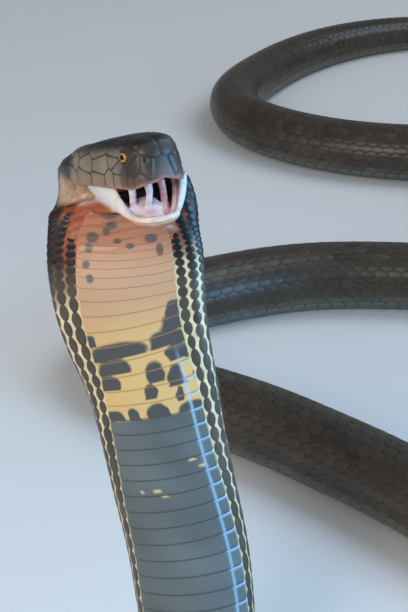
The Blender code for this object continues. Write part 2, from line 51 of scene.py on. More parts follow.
# Head: its frame, then sizes along it, from the lip at the tip of the snout backwards
SNOUT = (-14.65, -4.0, 50.46)
HEAD_YAW = 61.0
HEAD_PITCH = 20.0
HEAD_LENGTH = 8.6
OCCIPUT_RISE = 1.30
SNOUT_ROUND = 1.3
SNOUT_POWER = 2.6
SPINE_START = 1.7
HEAD_WIDTH = [(0.0, 1.78), (1.3, 1.88), (2.2, 1.98), (3.0, 2.10), (4.0, 2.34), (5.0, 2.62), (6.0, 2.84),
              (7.0, 2.96), (8.0, 2.90), (8.6, 2.74)]
CROWN_HEIGHT = [(0.0, 2.80), (1.0, 2.98), (2.0, 3.06), (4.0, 3.04), (6.0, 2.90), (7.5, 2.70), (8.6, 2.56)]
LIP_HEIGHT = [(0.0, -0.10), (0.4, -0.22), (1.0, -0.38), (1.8, -0.42), (3.0, -0.34), (5.0, -0.12), (6.5, 0.0),
              (8.6, 0.0)]
LIP_ARCH = 0.20
LIP_ARCH_WIDTH = 0.45
# How far in from the outline and how far up towards the crown, from the lip to the middle of the crown
HEAD_PROFILE = [(0.02, 0.0), (-0.02, 0.07), (-0.03, 0.22), (-0.01, 0.40), (0.02, 0.58), (0.07, 0.74),
                (0.16, 0.87), (0.34, 0.955), (0.65, 0.995), (1.0, 1.0)]
# How far in from the outline and how high over the lip, from the lip to the middle of the palate
PALATE_PROFILE = [(0.08, 0.02), (0.16, 0.16), (0.40, 0.40), (0.70, 0.52), (1.0, 0.55)]
EYE_AT = (2.10, 1.64, 1.80)
EYE_RADIUS = 0.44
EYE_AHEAD = 0.42
EYE_UP = 0.12
NOSTRIL_AT = (0.30, 1.08, 1.50)
NOSTRIL_RADIUS = 0.15
PUPIL = 27.0

# Lower jaw: its frame, then the two sides, because the far side is swung out
CHIN = (-14.95, -4.05, 47.62)
JAW_YAW = 68.0
JAW_PITCH = 3.0
JAW_LENGTH = 7.4
CHIN_ROUND = 1.1
NEAR_JAW_WIDTH = [(0.0, 1.55), (1.1, 1.68), (3.0, 2.15), (5.0, 2.62), (7.4, 2.90)]
FAR_JAW_WIDTH = [(0.0, 1.55), (1.1, 1.78), (2.0, 2.35), (3.0, 2.95), (4.0, 3.35), (6.0, 3.55), (7.4, 3.30)]
RIM_RISE_FROM = 1.2
NEAR_RIM_RISE_TO = 6.0
FAR_RIM_RISE_TO = 5.3
RIM_RISE = 3.0
JAW_POWER = 2.4
JAW_SPINE_START = 1.6
# Layers of the jaw from the middle of its floor over the rim to the middle of its underside:
# how far in from the outline, height over the rim at the chin, share of the rim's rise
JAW_LAYERS = [(1.0, -0.62, 0.0), (0.60, -0.60, 0.0), (0.30, -0.45, 0.1), (0.17, -0.10, 0.8),
              (0.08, 0.04, 1.0), (0.0, 0.0, 1.0), (-0.04, -0.16, 0.85), (-0.02, -0.40, 0.5),
              (0.12, -0.66, 0.2), (0.35, -0.88, 0.0), (1.0, -1.0, 0.0)]
PALATE_ROWS = 14
DOME_ROWS = 40
JAW_ROWS = 50
JAW_RIM_ROW = 22
JAW_STEPS = (18, 30)
GUM_STEPS = (18, 26)
HEAD_STEPS = (24, 44)
HEAD_BACK_SPARE = 0.5

# The throat that fills the bend under the head: middle line, then half width and half thickness
THROAT = [
    (-16.60, 0.00, 46.42, 2.00, 0.25), (-17.10, 1.30, 46.10, 2.50, 0.55), (-17.55, 2.60, 45.30, 3.10, 1.00),
    (-17.80, 3.50, 43.90, 3.70, 1.10), (-17.80, 3.80, 42.20, 4.00, 0.80), (-17.70, 3.65, 40.60, 4.10, 0.50),
]
THROAT_RING_COUNT = 30
THROAT_STEP = 7.5

# The middle line of the body after the back of the head: down the neck, then along the floor
RAISED_ROUTE = [
    (-19.15, 4.75, 47.90), (-18.45, 5.50, 46.50), (-17.85, 5.25, 44.80), (-17.75, 4.50, 42.80),
    (-17.60, 3.75, 40.40), (-17.35, 3.15, 38.00), (-16.85, 2.70, 35.60), (-16.00, 2.30, 32.60),
    (-15.35, 2.05, 29.50), (-14.10, 2.00, 22.90), (-13.15, 2.00, 17.80), (-12.55, 1.95, 12.60),
    (-11.75, 1.80, 8.60), (-9.60, 1.50, 5.50), (-6.30, 1.00, 3.90), (-2.60, 0.35, 3.25),
]
FLOOR_ROUTE = [
    (1.5, -0.1), (6.5, -0.5), (11.5, 0.3), (16.5, 2.8), (20.2, 7.2), (21.2, 13.2), (18.9, 19.8), (13.3, 27.0),
    (6.3, 36.2), (-1.3, 44.2), (-8.2, 50.4), (-14.6, 55.0), (-19.2, 60.2), (-20.4, 66.4), (-16.6, 73.2),
    (-9.5, 77.7), (-2.5, 80.1), (7.5, 80.5), (16.0, 80.0), (24.0, 81.5), (30.0, 86.5), (32.2, 94.0),
    (30.0, 102.2), (23.8, 108.4), (16.5, 111.1), (8.9, 112.2), (2.7, 114.0), (-3.2, 117.4), (-7.4, 122.2),
    (-8.5, 128.2), (-6.0, 134.8), (-1.5, 141.6), (5.0, 147.4), (12.3, 150.6), (20.5, 151.2), (28.8, 148.6),
    (35.0, 143.0), (38.0, 135.5), (37.8, 127.5), (34.8, 120.0),
]
SAMPLES_A_SPAN = 24
DIRECTION_REACH = 0.25
NECK_BELLY_WAY = (0.0, -1.0, -0.05)
FLOOR_BELLY_WAY = (0.0, 0.0, -1.0)

# Girth by distance along the body: half width, belly depth, back depth, thickness left in the hood's wings
GIRTH = [
    (0.0, 2.72, 1.28, 1.26, 1.00), (1.6, 3.25, 1.40, 1.30, 0.95), (3.2, 4.55, 1.50, 1.40, 0.80),
    (4.8, 5.15, 1.45, 1.55, 0.60), (7.0, 5.45, 1.35, 1.75, 0.45), (9.5, 5.66, 1.30, 1.90, 0.40),
    (12.0, 5.55, 1.35, 2.00, 0.42), (15.0, 5.25, 1.50, 2.10, 0.52), (18.5, 4.80, 1.75, 2.15, 0.70),
    (22.0, 4.62, 2.00, 2.20, 0.85), (28.0, 4.55, 2.20, 2.30, 0.95), (38.0, 4.40, 2.45, 2.50, 1.00),
    (46.0, 4.00, 2.90, 2.90, 1.00), (55.0, 3.60, 3.20, 3.20, 1.00), (80.0, 3.55, 3.35, 3.35, 1.00),
    (108.0, 3.72, 3.55, 3.55, 1.00), (150.0, 3.60, 3.40, 3.40, 1.00), (180.0, 3.45, 3.30, 3.30, 1.00),
    (240.0, 3.28, 3.15, 3.15, 1.00), (290.0, 2.60, 2.48, 2.48, 1.00), (320.0, 1.85, 1.72, 1.72, 1.00),
    (340.0, 1.15, 1.08, 1.08, 1.00), (352.0, 0.70, 0.66, 0.66, 1.00), (362.0, 0.30, 0.30, 0.30, 1.00),
]
RIDGE_WIDTH = 0.45
BELLY_FLAT = 0.93
HEAD_TURN_ENDS = 6.5
NAPE_FREE_BELOW = -1.2
NAPE_HELD_ABOVE = -0.4
BEND_STARTS = 36.0
BEND_ENDS = 54.0
LEVEL_FROM = 48.0
BACK_SHARES = 60
BACK_SAMPLES = 121

# Length of a belly scute by distance along the body, and how far round the belly each one reaches
SCUTE_LENGTH = [(0.0, 0.62), (4.0, 0.60), (4.9, 0.46), (7.6, 0.45), (9.4, 0.60), (12.0, 0.95), (15.0, 1.12),
                (20.0, 1.13), (24.0, 1.26), (28.0, 1.38), (60.0, 1.42), (240.0, 1.30), (290.0, 1.05),
                (330.0, 0.72), (362.0, 0.45)]
SCUTE_REACH = [(0.0, 12.0), (4.5, 14.0), (6.0, 27.0), (7.5, 35.0), (9.5, 38.0), (16.0, 42.0),
               (20.0, 47.0), (24.0, 51.0), (28.0, 56.0), (34.0, 61.0), (80.0, 60.0), (362.0, 56.0)]
SCUTE_SAG = [(0.0, 0.50), (7.0, 0.45), (10.0, 0.30), (15.0, 0.15), (30.0, 0.10), (60.0, 0.0), (362.0, 0.0)]
SCUTES_FROM = 5.3
TAIL_SPARE = 0.8
HOOD_SCUTES_TO = 23.0
NECK_SCUTES_TO = 56.0
# Places along a scute where it has a row of points, on the raised part and on the floor
FINE_ROWS = (-0.10, 0.0, 0.06, 0.14, 0.22, 0.30, 0.40, 0.50, 0.60, 0.70, 0.80, 0.88, 0.94, 0.98, 1.0, 1.015)
COARSE_ROWS = (-0.10, 0.0, 0.25, 0.6, 0.90, 1.0, 1.015)
HOOD_COLUMNS = 201
NECK_COLUMNS = 81
FLOOR_COLUMNS = 17
SCUTE_OVERHANG = 1.02
SCUTE_SIDE_TUCK = 0.05
SCUTE_UNDER = 0.06
SCUTE_RISE = 0.06
LIFT_REACH = 2.6
LIFT_SPARE = 0.03
CROWDED = 0.5
ROOM_REACH = 0.3

# A scale's plate: its points round it, its rings, then how it rises over the solids and dips below them
PLATE_SECTORS = 14
PLATE_RINGS = (0.30, 0.58, 0.80, 0.93, 1.0)
PLATE_UNDERSIDE = 0.97
PLATE_DOME = 0.032
PLATE_TILT = 0.026
PLATE_DROP = 0.012
PLATE_SINK = 0.045
PLATE_SKIRT = 0.09
SCALES_FROM = 0.7
BAKE_STRIPS = 12
BAKE_PATCH = 0.0015

# The skin lies this far inside the solids where scales cover it
SKIN_DEPTH = 0.07
SKIN_TUCK = 0.35
FRONT_ENDS = 9.2
FRONT_HOLDS_TO = FRONT_ENDS - 0.5
HIDDEN_DEPTH = 0.12
BODY_SKIN_FROM = 7.6
SKIN_STEP = 0.015
HEAD_VOXEL = 0.055
MOUTH_VOXEL = 0.045
SKIN_SMOOTHING = 6
MOUTH_SMOOTHING = 8
REGION_BLEND = 0.09
FRONT_COLUMNS = 96
FRONT_RING_STEP = 0.3
BODY_COLUMNS = 72
BODY_RING_STEP = 0.7

# Rows of scales round the back between the scutes: from, to, rows, width and length against their spacing
SCALE_ZONES = [
    ("scales_hood", 0.9, 21.0, 19, 0.84, 1.12), ("scales_neck", 21.0, 56.0, 17, 0.94, 1.16),
    ("scales_body_1", 56.0, 130.0, 15, 1.26, 1.30), ("scales_body_2", 130.0, 205.0, 15, 1.26, 1.30),
    ("scales_body_3", 205.0, 262.0, 15, 1.26, 1.30), ("scales_tail_1", 262.0, 300.0, 11, 1.26, 1.30),
    ("scales_tail_2", 300.0, 332.0, 9, 1.26, 1.30), ("scales_tail_3", 332.0, 361.0, 7, 1.26, 1.30),
]

# Colours, as they look on a screen, 0 to 1
# Olive-black of the scales, browned by painted red bounce light
OLIVE_WITH_RED_BOUNCE = (0.25, 0.215, 0.175)
HEAD_TOP = (0.11, 0.105, 0.10)
TEMPLE = (0.50, 0.455, 0.40)
SUTURE = (0.085, 0.075, 0.065)
LIP_PINK = (0.62, 0.42, 0.35)
JAW_CREAM = (0.90, 0.88, 0.86)
MOUTH_PINK = (0.88, 0.72, 0.72)
# Painted shade deep in the mouth, towards the gullet
MOUTH_SHADOW = (0.07, 0.03, 0.03)
# Throat tan, darkened by painted shade from the head above it
THROAT_TAN_IN_SHADE = (0.72, 0.46, 0.34)
FOLD_BROWN = (0.66, 0.32, 0.17)
# Upper hood cream, darkened by painted shade from the head above it
HOOD_CREAM_IN_SHADE = (0.77, 0.61, 0.48)
HOOD_YELLOW = (0.85, 0.72, 0.48)
BLOTCH = (0.30, 0.31, 0.31)
SLATE = (0.385, 0.425, 0.43)
SLATE_EDGE = (0.20, 0.22, 0.22)
# Painted blue sky reflection for the right side of the raised scutes
PAINTED_SKY_REFLECTION = (0.62, 0.80, 0.92)
NET_CREAM = (0.86, 0.80, 0.62)
SIDE_SCALE = (0.30, 0.27, 0.24)
BELLY_GREY = (0.40, 0.39, 0.36)
HOOD_DARK = (0.17, 0.08, 0.05)
HOOD_SCALE = (0.10, 0.06, 0.045)
CHEEK_SCALE = (0.74, 0.66, 0.58)
CHEEK_SKIN = (0.80, 0.62, 0.48)
BARE_SKIN = (0.17, 0.155, 0.135)
SCUTE_LINE = (0.66, 0.47, 0.30)
LIP_BROWN = (0.56, 0.43, 0.35)
# Painted shade inside the nostrils
NOSTRIL_SHADOW = (0.04, 0.03, 0.03)
MOUTH_ROSE = (0.62, 0.30, 0.30)
JAW_UNDER = (0.90, 0.80, 0.68)
JAW_LINE = (0.80, 0.32, 0.18)
JAW_GROOVE = (0.66, 0.58, 0.50)
FLESH_PALE = (0.93, 0.86, 0.86)
FLESH_ROSE = (0.84, 0.62, 0.63)
FLESH_RED = (0.55, 0.20, 0.20)
IRIS = (0.72, 0.50, 0.24)
IRIS_RAY = (0.90, 0.72, 0.42)
IRIS_RIM = (0.45, 0.27, 0.12)
PUPIL_BLACK = (0.02, 0.015, 0.01)
EYE_EDGE = (0.05, 0.04, 0.03)

# Where the belly's colours change, as distances along the body
TAN_TO_CREAM = (7.2, 10.5)
CREAM_TO_YELLOW = (11.5, 16.0)
YELLOW_TO_SLATE = (20.85, 20.95)
SLATE_TO_GREY = (46.0, 62.0)

# Blotches on the scutes: first and last distance along the body, left and right edge round the belly
BLOTCHES = [
    (14.2, 15.0, -44, -34), (15.0, 16.1, -44, 5), (14.9, 16.1, 9, 44), (12.7, 13.8, 28, 48),
    (13.8, 15.0, 22, 48),
    (16.1, 17.2, -40, -11), (16.1, 17.2, 22, 42), (17.2, 18.4, -44, -25), (16.9, 18.4, 0, 15),
    (18.4, 19.5, -6, 5), (17.5, 18.9, 17, 33), (19.0, 20.0, 21, 27), (18.2, 18.8, 42, 50),
    (20.1, 20.9, -48, -30), (20.0, 20.9, -24, -15), (19.9, 20.9, -7, 12), (20.2, 20.9, 22, 48),
]
# Small spots: distance along the body, angle round the belly, half length and half width in degrees
THROAT_SPOTS = [
    (6.1, -9, 0.35, 6), (6.9, -8, 0.30, 4), (7.3, -12, 0.30, 3), (7.7, -23, 0.35, 5), (8.4, -26, 0.30, 3),
    (8.0, -4, 0.20, 3), (8.4, 5, 0.22, 3), (7.9, 21, 0.35, 5), (8.8, 27, 0.45, 3), (9.5, -29, 0.28, 3),
    (10.5, -27, 0.30, 3),
]
CREAM_SPOTS = [
    (24.6, 25, 0.10, 4), (25.2, 34, 0.12, 4), (26.6, -13, 0.12, 4), (27.1, -7, 0.12, 3),
    (26.6, -28, 0.12, 2),
]

# Head shields of one side: distance back, to the side and up, and how much wider than its neighbours
SHIELDS = {
    "rostral": (-0.10, 0.0, 0.60, 0.15), "internasal": (0.35, 0.60, 2.45, 0.0),
    "nasal_front": (0.20, 1.15, 0.95, 0.0), "nasal_rear": (0.85, 1.85, 1.10, 0.0),
    "prefrontal": (1.35, 0.95, 3.0, 0.15), "preocular": (1.45, 1.90, 1.95, 0.0),
    "frontal": (3.1, 0.0, 3.1, 0.20), "supraocular": (2.55, 1.40, 2.90, 0.0),
    "postocular_top": (3.10, 2.05, 2.20, 0.0), "postocular_middle": (3.20, 2.10, 1.60, 0.0),
    "postocular_low": (2.85, 2.10, 1.05, 0.0), "parietal": (5.05, 1.05, 3.0, 0.35),
    "temporal_top": (4.95, 2.05, 2.25, 0.10), "temporal_front": (4.65, 2.45, 1.40, 0.15),
    "occipital": (7.15, 0.85, 2.75, 0.35), "temporal_upper_rear": (6.75, 2.15, 2.15, 0.05),
    "temporal_rear": (6.3, 2.75, 1.45, 0.05), "temple_end": (7.85, 2.75, 1.75, 0.0),
    "crown_side": (8.2, 1.95, 2.3, 0.0), "labial_1": (0.60, 1.62, 0.10, 0.0),
    "labial_2": (1.35, 1.88, 0.15, 0.0), "labial_3": (2.10, 1.98, 0.40, 0.05),
    "labial_4": (2.95, 2.08, 0.30, 0.05), "labial_5": (3.75, 2.28, 0.35, 0.0),
    "labial_6": (4.9, 2.55, 0.40, 0.05), "labial_7": (6.6, 2.85, 0.50, 0.20),
    "labial_8": (8.2, 2.85, 0.55, 0.0),
}

# Relief of the head: the brows' middles, half sizes and height, then the shields, sutures and lip
BROW_AT = (2.35, 1.80, 2.52)
BROW_SPREAD = (0.85, 0.28, 0.26)
BROW_RISE = 0.13
SHIELD_RISE = 0.022
SUTURE_DEPTH = 0.035
SUTURE_WIDTH = 0.05
LIP_ROLL = 0.05
SOCKET_DEPTH = 0.20
SOCKET_RIM = 0.05
NOSTRIL_DEPTH = 0.16
JAW_SCALE_LENGTH = 0.95
JAW_GROOVE_DEPTH = 0.03
FOLD_RISE = 0.055
EYE_RINGS = 72
EYE_SECTORS = 48
MOUTH_SECTORS = 20

# Studio, in metres: each light's place, what it points at, its size, watts, colour and spread in degrees
LIGHTS = {
    "key": ((-0.9, -1.9, 1.7), (-0.1, 0.0, 0.35), 1.0, 30.0, (1.0, 0.96, 0.90), 180.0),
    "sky": ((1.6, 1.2, 2.4), (0.0, 0.2, 0.3), 2.2, 34.0, (0.70, 0.85, 1.0), 180.0),
    "fill": ((-1.8, -0.8, 1.0), (-0.1, 0.0, 0.3), 1.4, 7.0, (1.0, 0.92, 0.86), 180.0),
    "window": ((1.5, -0.5, 0.75), (-0.1, 0.0, 0.25), 1.0, 6.5, (0.22, 0.58, 1.0), 70.0),
}
WORLD_COLOUR = (0.80, 0.88, 1.0)
WORLD_STRENGTH = 0.28
FLOOR_HALF_CM = 900
FLOOR_COLOUR = (0.80, 0.79, 0.77)
CAMERA_AT = (-0.12, -1.97, 1.35)
CAMERA_TILT = 64.0
SENSOR_WIDTH = 36.0
FOCAL_PIXELS = 3100.0
PHOTO_HEIGHT_PIXELS = 612.0


def smoothstep(value, low, high):
    """Rises from 0 at low to 1 at high with level ends."""
    part = np.clip((np.asarray(value, float) - low) / (high - low), 0.0, 1.0)
    return part * part * (3.0 - 2.0 * part)


def curve_through(keys, at):
    """A smooth curve through rows of (position, value, value, ...), read at the positions given."""
    table = np.asarray(keys, float)
    place_of = table[:, 0]
    values = table[:, 1:]
    slope = np.gradient(values, place_of, axis=0)
    at = np.clip(np.asarray(at, float), place_of[0], place_of[-1])
    left = np.clip(np.searchsorted(place_of, at, side="right") - 1, 0, len(place_of) - 2)
    span = (place_of[left + 1] - place_of[left])[..., None]
    part = (at - place_of[left])[..., None] / span
    start = values[left] * (1 + 2 * part) * (1 - part) ** 2 + slope[left] * span * part * (1 - part) ** 2
    end = values[left + 1] * part ** 2 * (3 - 2 * part) - slope[left + 1] * span * part ** 2 * (1 - part)
    return (start + end)[..., 0] if values.shape[1] == 1 else start + end


def axes_of(yaw, pitch):
    """Forward, far side and up of a frame turned from +X towards -Y and tipped up."""
    turn = math.radians(yaw)
    tip = math.radians(pitch)
    forward = np.array([math.cos(tip) * math.cos(turn), -math.cos(tip) * math.sin(turn), math.sin(tip)])
    side = np.array([math.sin(turn), math.cos(turn), 0.0])
    up = np.array([-math.sin(tip) * math.cos(turn), math.sin(tip) * math.sin(turn), math.cos(tip)])
    return forward, side, up


HEAD_AXES = axes_of(HEAD_YAW, HEAD_PITCH)
JAW_AXES = axes_of(JAW_YAW, JAW_PITCH)


def place(origin, axes, back, side, rise):
    """World centimetres of points given as distance back, to the far side and up in a frame."""
    forward, across, up = axes
    return (np.asarray(origin) - np.multiply.outer(back, forward) + np.multiply.outer(side, across)
            + np.multiply.outer(rise, up))


def in_frame(origin, axes, points):
    """Distance back, to the far side and up in a frame, of world points."""
    forward, across, up = axes
    offset = points - np.asarray(origin)
    return -(offset @ forward), offset @ across, offset @ up


def in_head(points):
    return in_frame(SNOUT, HEAD_AXES, points)


def head_point(back, side, rise):
    return place(SNOUT, HEAD_AXES, back, side, rise)


def jaw_point(back, side, rise):
    return place(CHIN, JAW_AXES, back, side, rise)


def lip_height(back, side):
    """Height of the upper lip's edge: lowest beside the fangs, with a notch at the tip."""
    arch = LIP_ARCH * np.exp(-(side / LIP_ARCH_WIDTH) ** 2) * (back < SNOUT_ROUND)
    return curve_through(LIP_HEIGHT, back) + arch


def unit(vectors):
    return vectors / np.linalg.norm(vectors, axis=-1, keepdims=True)


def natural_spline(points, start_slope, per_span):
    """A smooth curve through 3-D points that leaves the first one in a given direction."""
    points = np.asarray(points, float)
    chord = np.concatenate([[0.0], np.cumsum(np.linalg.norm(np.diff(points, axis=0), axis=1))])
    count = len(points)
    step = np.diff(chord)
    system = np.zeros((count, count))
    right = np.zeros((count, 3))
    system[0, 0] = 2 * step[0]
    system[0, 1] = step[0]
    right[0] = 6 * ((points[1] - points[0]) / step[0] - start_slope)
    system[-1, -1] = 1.0
    for i in range(1, count - 1):
        system[i, i - 1] = step[i - 1]
        system[i, i] = 2 * (step[i - 1] + step[i])
        system[i, i + 1] = step[i]
        right[i] = 6 * ((points[i + 1] - points[i]) / step[i] - (points[i] - points[i - 1]) / step[i - 1])
    bend = np.linalg.solve(system, right)
    samples = []
    for i in range(count - 1):
        part = np.linspace(0.0, 1.0, per_span, endpoint=False)[:, None]
        rest = 1.0 - part
        samples.append(rest * points[i] + part * points[i + 1]
                       + step[i] ** 2 / 6 * ((rest ** 3 - rest) * bend[i] + (part ** 3 - part) * bend[i + 1]))
    samples.append(points[-1:])
    return np.concatenate(samples)


def middle_line():
    """Distances along the body and the points of its middle line, in centimetres."""
    neck = [tuple(head_point(HEAD_LENGTH, 0.0, OCCIPUT_RISE))] + RAISED_ROUTE
    floor = [(x, y, RAISED_ROUTE[-1][2]) for x, y in FLOOR_ROUTE]
    line = natural_spline(neck + floor, -HEAD_AXES[0], SAMPLES_A_SPAN)
    along = np.concatenate([[0.0], np.cumsum(np.linalg.norm(np.diff(line, axis=0), axis=1))])
    lying = smoothstep(along, LEVEL_FROM, BEND_ENDS)
    line[:, 2] += lying * (BELLY_FLAT * curve_through(GIRTH, along)[:, 1] - line[:, 2])
    return along, line


ALONG, LINE = middle_line()
BODY_LENGTH = ALONG[-1]


def frame_at(distance):
    """Point, direction to the tail, belly direction and width direction at distances along the body."""
    distance = np.atleast_1d(np.asarray(distance, float))
    point = np.stack([np.interp(distance, ALONG, LINE[:, k]) for k in range(3)], axis=1)
    ahead = np.clip(distance + DIRECTION_REACH, 0, BODY_LENGTH)
    behind = np.clip(distance - DIRECTION_REACH, 0, BODY_LENGTH)
    tail = unit(np.stack([np.interp(ahead, ALONG, LINE[:, k]) - np.interp(behind, ALONG, LINE[:, k])
                          for k in range(3)], axis=1))
    tail[distance < DIRECTION_REACH] = -HEAD_AXES[0]
    turned = smoothstep(distance, 0.0, HEAD_TURN_ENDS)[:, None]
    lying = smoothstep(distance, BEND_STARTS, BEND_ENDS)[:, None]
    hint = (1 - turned) * -HEAD_AXES[2] + turned * np.array(NECK_BELLY_WAY)
    hint = (1 - lying) * hint + lying * np.array(FLOOR_BELLY_WAY)
    belly = unit(hint - np.sum(hint * tail, axis=1, keepdims=True) * tail)
    return point, tail, belly, np.cross(belly, tail)


def behind_head(points):
    """Keeps the nape's points behind the flat back of the head."""
    back, _, rise = in_head(points)
    nape = smoothstep(rise, NAPE_FREE_BELOW, NAPE_HELD_ABOVE) * (back > HEAD_LENGTH - HEAD_TURN_ENDS)
    short = np.maximum(HEAD_LENGTH + GAP / 2 - back, 0.0)
    return points - (nape * short)[..., None] * HEAD_AXES[0]


def surface(distance, angle, proud=0.0):
    """Points of the body at pairs of distance and angle: 0 is the middle of the belly, 180 the back."""
    distance = np.asarray(distance, float)
    angle = np.radians(np.asarray(angle, float))
    point, _, belly, across = frame_at(distance)
    half, under, over, wing = curve_through(GIRTH, distance).T
    side = np.sin(angle)
    ridge = np.exp(-(side / RIDGE_WIDTH) ** 2)
    over = over * (wing + (1 - wing) * ridge)
    depth = np.cos(angle) * (np.where(np.cos(angle) > 0, under, over) + proud)
    rows = point + ((half + proud) * side)[:, None] * across + depth[:, None] * belly
    rows[:, 2] = np.maximum(rows[:, 2], np.maximum(-np.asarray(proud), 0.0))
    return behind_head(rows)


def girth_table():
    """For each distance of a fine row, the angles at even shares of the way round the back."""
    stops = np.arange(0.0, BODY_LENGTH + 1.0, 1.0)
    shares = np.linspace(0.0, 1.0, BACK_SHARES + 1)
    reach = curve_through(SCUTE_REACH, stops)
    rows = []
    for distance, edge in zip(stops, reach):
        angles = np.linspace(edge, 360.0 - edge, BACK_SAMPLES)
        points = surface(np.full(BACK_SAMPLES, min(distance, BODY_LENGTH)), angles)
        length = np.concatenate([[0.0], np.cumsum(np.linalg.norm(np.diff(points, axis=0), axis=1))])
        rows.append(np.interp(shares * length[-1], length, angles))
    return np.array(rows)


GIRTH_TABLE = girth_table()


def back_angle(distance, share):
    """Angle at a share of the way round the back, from the right edge of the scutes to the left one."""
    column = np.clip(np.asarray(share, float), 0.0, 1.0) * BACK_SHARES
    row = np.clip(np.asarray(distance, float), 0.0, len(GIRTH_TABLE) - 1.001)
    left = np.minimum(column.astype(int), BACK_SHARES - 1)
    low = row.astype(int)
    across = column - left
    along = row - low
    upper = GIRTH_TABLE[low, left] * (1 - across) + GIRTH_TABLE[low, left + 1] * across
    lower = GIRTH_TABLE[low + 1, left] * (1 - across) + GIRTH_TABLE[low + 1, left + 1] * across
    return upper * (1 - along) + lower * along


def scute_edges(start):
    """Distances of the front edges of the scutes from a start to the tip of the tail."""
    edges = [start]
    while edges[-1] < BODY_LENGTH - TAIL_SPARE:
        edges.append(edges[-1] + float(curve_through(SCUTE_LENGTH, edges[-1])))
    return np.array(edges)


def linear(colour):
    """Light values of a colour as it looks on a screen."""
    return np.asarray(colour, float) ** 2.2


def filled(colour, count):
    """The same light values for a number of points."""
    return np.tile(linear(colour), (count, 1))


def off_belly(angle):
    """Degrees away from the middle of the belly, to either side."""
    return np.abs((angle + 180.0) % 360.0 - 180.0)


def mix(first, second, share):
    return first + (np.asarray(second) - first) * np.asarray(share)[..., None]


def noise(points, size, seed):
    """Smooth random values from -1 to 1 at points, as a sum of waves in random directions."""
    random = np.random.default_rng(seed)
    total = np.zeros(len(points))
    for _ in range(14):
        wave = random.normal(size=3) * 2.2 / size
        total += np.sin(points @ wave + random.uniform(0.0, 2 * math.pi))
    return total / 3.7


def off_spot(spot, distance, angle):
    """How far places are from a spot: 1 is its edge."""
    at, middle, length, width = spot
    return ((distance - at) / length) ** 2 + ((angle - middle) / width) ** 2


def belly_colour(distance, angle, points):
    """Colour of the belly's scutes, with its blotches, at distances and angles round the belly."""
    ragged = distance + 0.10 * noise(points, 0.5, 3)
    # The throat's tan and the upper hood's cream carry painted shade from the head
    colour = filled(THROAT_TAN_IN_SHADE, len(distance))
    colour = mix(colour, linear(HOOD_CREAM_IN_SHADE), smoothstep(ragged, *TAN_TO_CREAM))
    colour = mix(colour, linear(HOOD_YELLOW), smoothstep(ragged, *CREAM_TO_YELLOW))
    dark = np.zeros(len(distance))
    for first, last, left, right in BLOTCHES:
        middle = (left + right) / 2
        across = np.abs(angle + 1.5 * noise(points, 0.6, 5) - middle) / ((right - left) / 2)
        along = (last - distance) / (last - first)
        inside = np.where(along > 0, across ** 3 + np.abs(along) ** 3, 9.0)
        dark = np.maximum(dark, smoothstep(inside, 1.45, 0.80))
    for spot in THROAT_SPOTS:
        dark = np.maximum(dark, 0.85 * smoothstep(off_spot(spot, distance, angle), 1.6, 0.5))
    colour = mix(colour, linear(BLOTCH), dark)
    slate = mix(filled(SLATE, len(distance)), linear(BELLY_GREY), smoothstep(distance, *SLATE_TO_GREY))
    slate = mix(slate, linear(SLATE) * 0.8, 0.5 + 0.5 * noise(points, 2.5, 9))
    for spot in CREAM_SPOTS:
        slate = mix(slate, linear(HOOD_YELLOW), smoothstep(off_spot(spot, distance, angle), 1.6, 0.6))
    return mix(colour, slate, smoothstep(distance, *YELLOW_TO_SLATE))


def edge_marks(colour, distance, angle, along):
    """Dark lines at the rear edge of each scute, pale ones at its ends, and a painted blue sky reflection on
    the right-hand ends and front edges of the raised scutes.
    """
    reach = curve_through(SCUTE_REACH, distance)
    rear = smoothstep(along, 0.86, 0.97)
    line = mix(filled(SCUTE_LINE, len(distance)), linear(SLATE_EDGE), smoothstep(distance, 20.3, 21.0))
    colour = mix(colour, line, 0.75 * rear)
    end = np.abs(angle) / reach
    # Painted sky reflection: a band near the right-hand ends of the scutes, and their front edges there
    raised = smoothstep(distance, 15.5, 19.0) * smoothstep(distance, 62.0, 46.0)
    tile = np.exp(-((angle - 0.72 * reach) / 1.6) ** 2) * (angle > 0)
    front_sheen = smoothstep(along, 0.20, 0.06) * smoothstep(angle / reach, 0.62, 0.76)
    colour = mix(colour, linear(PAINTED_SKY_REFLECTION), raised * np.maximum(0.7 * tile, 0.8 * front_sheen))
    edged = smoothstep(distance, 70.0, 50.0) * smoothstep(distance, 9.0, 12.0)
    return mix(colour, linear(NET_CREAM), 0.9 * edged * smoothstep(end, 0.955, 0.99))


def cheek(distance, angle):
    """How much a place lies on the pale skin behind the corners of the mouth."""
    behind_jaw = smoothstep(distance, 1.2, 2.2) * smoothstep(distance, 4.4, 3.4)
    return behind_jaw * smoothstep(off_belly(angle), 84.0, 72.0)


def scale_colour(distance, share, angle, points, along, radius, shade):
    """Colour of the scales on the sides and back."""
    front = np.minimum(share, 1 - share)
    brown = smoothstep(front, 0.30, 0.12) * smoothstep(distance, 60.0, 30.0)
    on_hood = smoothstep(distance, 12.0, 8.5) * smoothstep(front, 0.34, 0.26)
    low_on_side = smoothstep(front, 0.10, 0.03) * smoothstep(distance, 50.0, 70.0)
    # The scales' olive-black carries painted red bounce light
    colour = mix(filled(OLIVE_WITH_RED_BOUNCE, len(distance)), linear(SIDE_SCALE), brown)
    colour = mix(colour, linear(HOOD_SCALE), on_hood)
    colour = mix(colour, linear(BELLY_GREY), 0.55 * low_on_side)
    colour = mix(colour, linear(CHEEK_SCALE), 0.85 * cheek(distance, angle))
    colour = colour * (1 + 0.13 * shade + 0.10 * noise(points, 6.0, 21))[:, None]
    colour = mix(colour, colour * 0.68, smoothstep(radius, 0.80, 1.0) * smoothstep(along, -0.4, 0.7))
    return np.clip(colour, 0.0, 1.0)


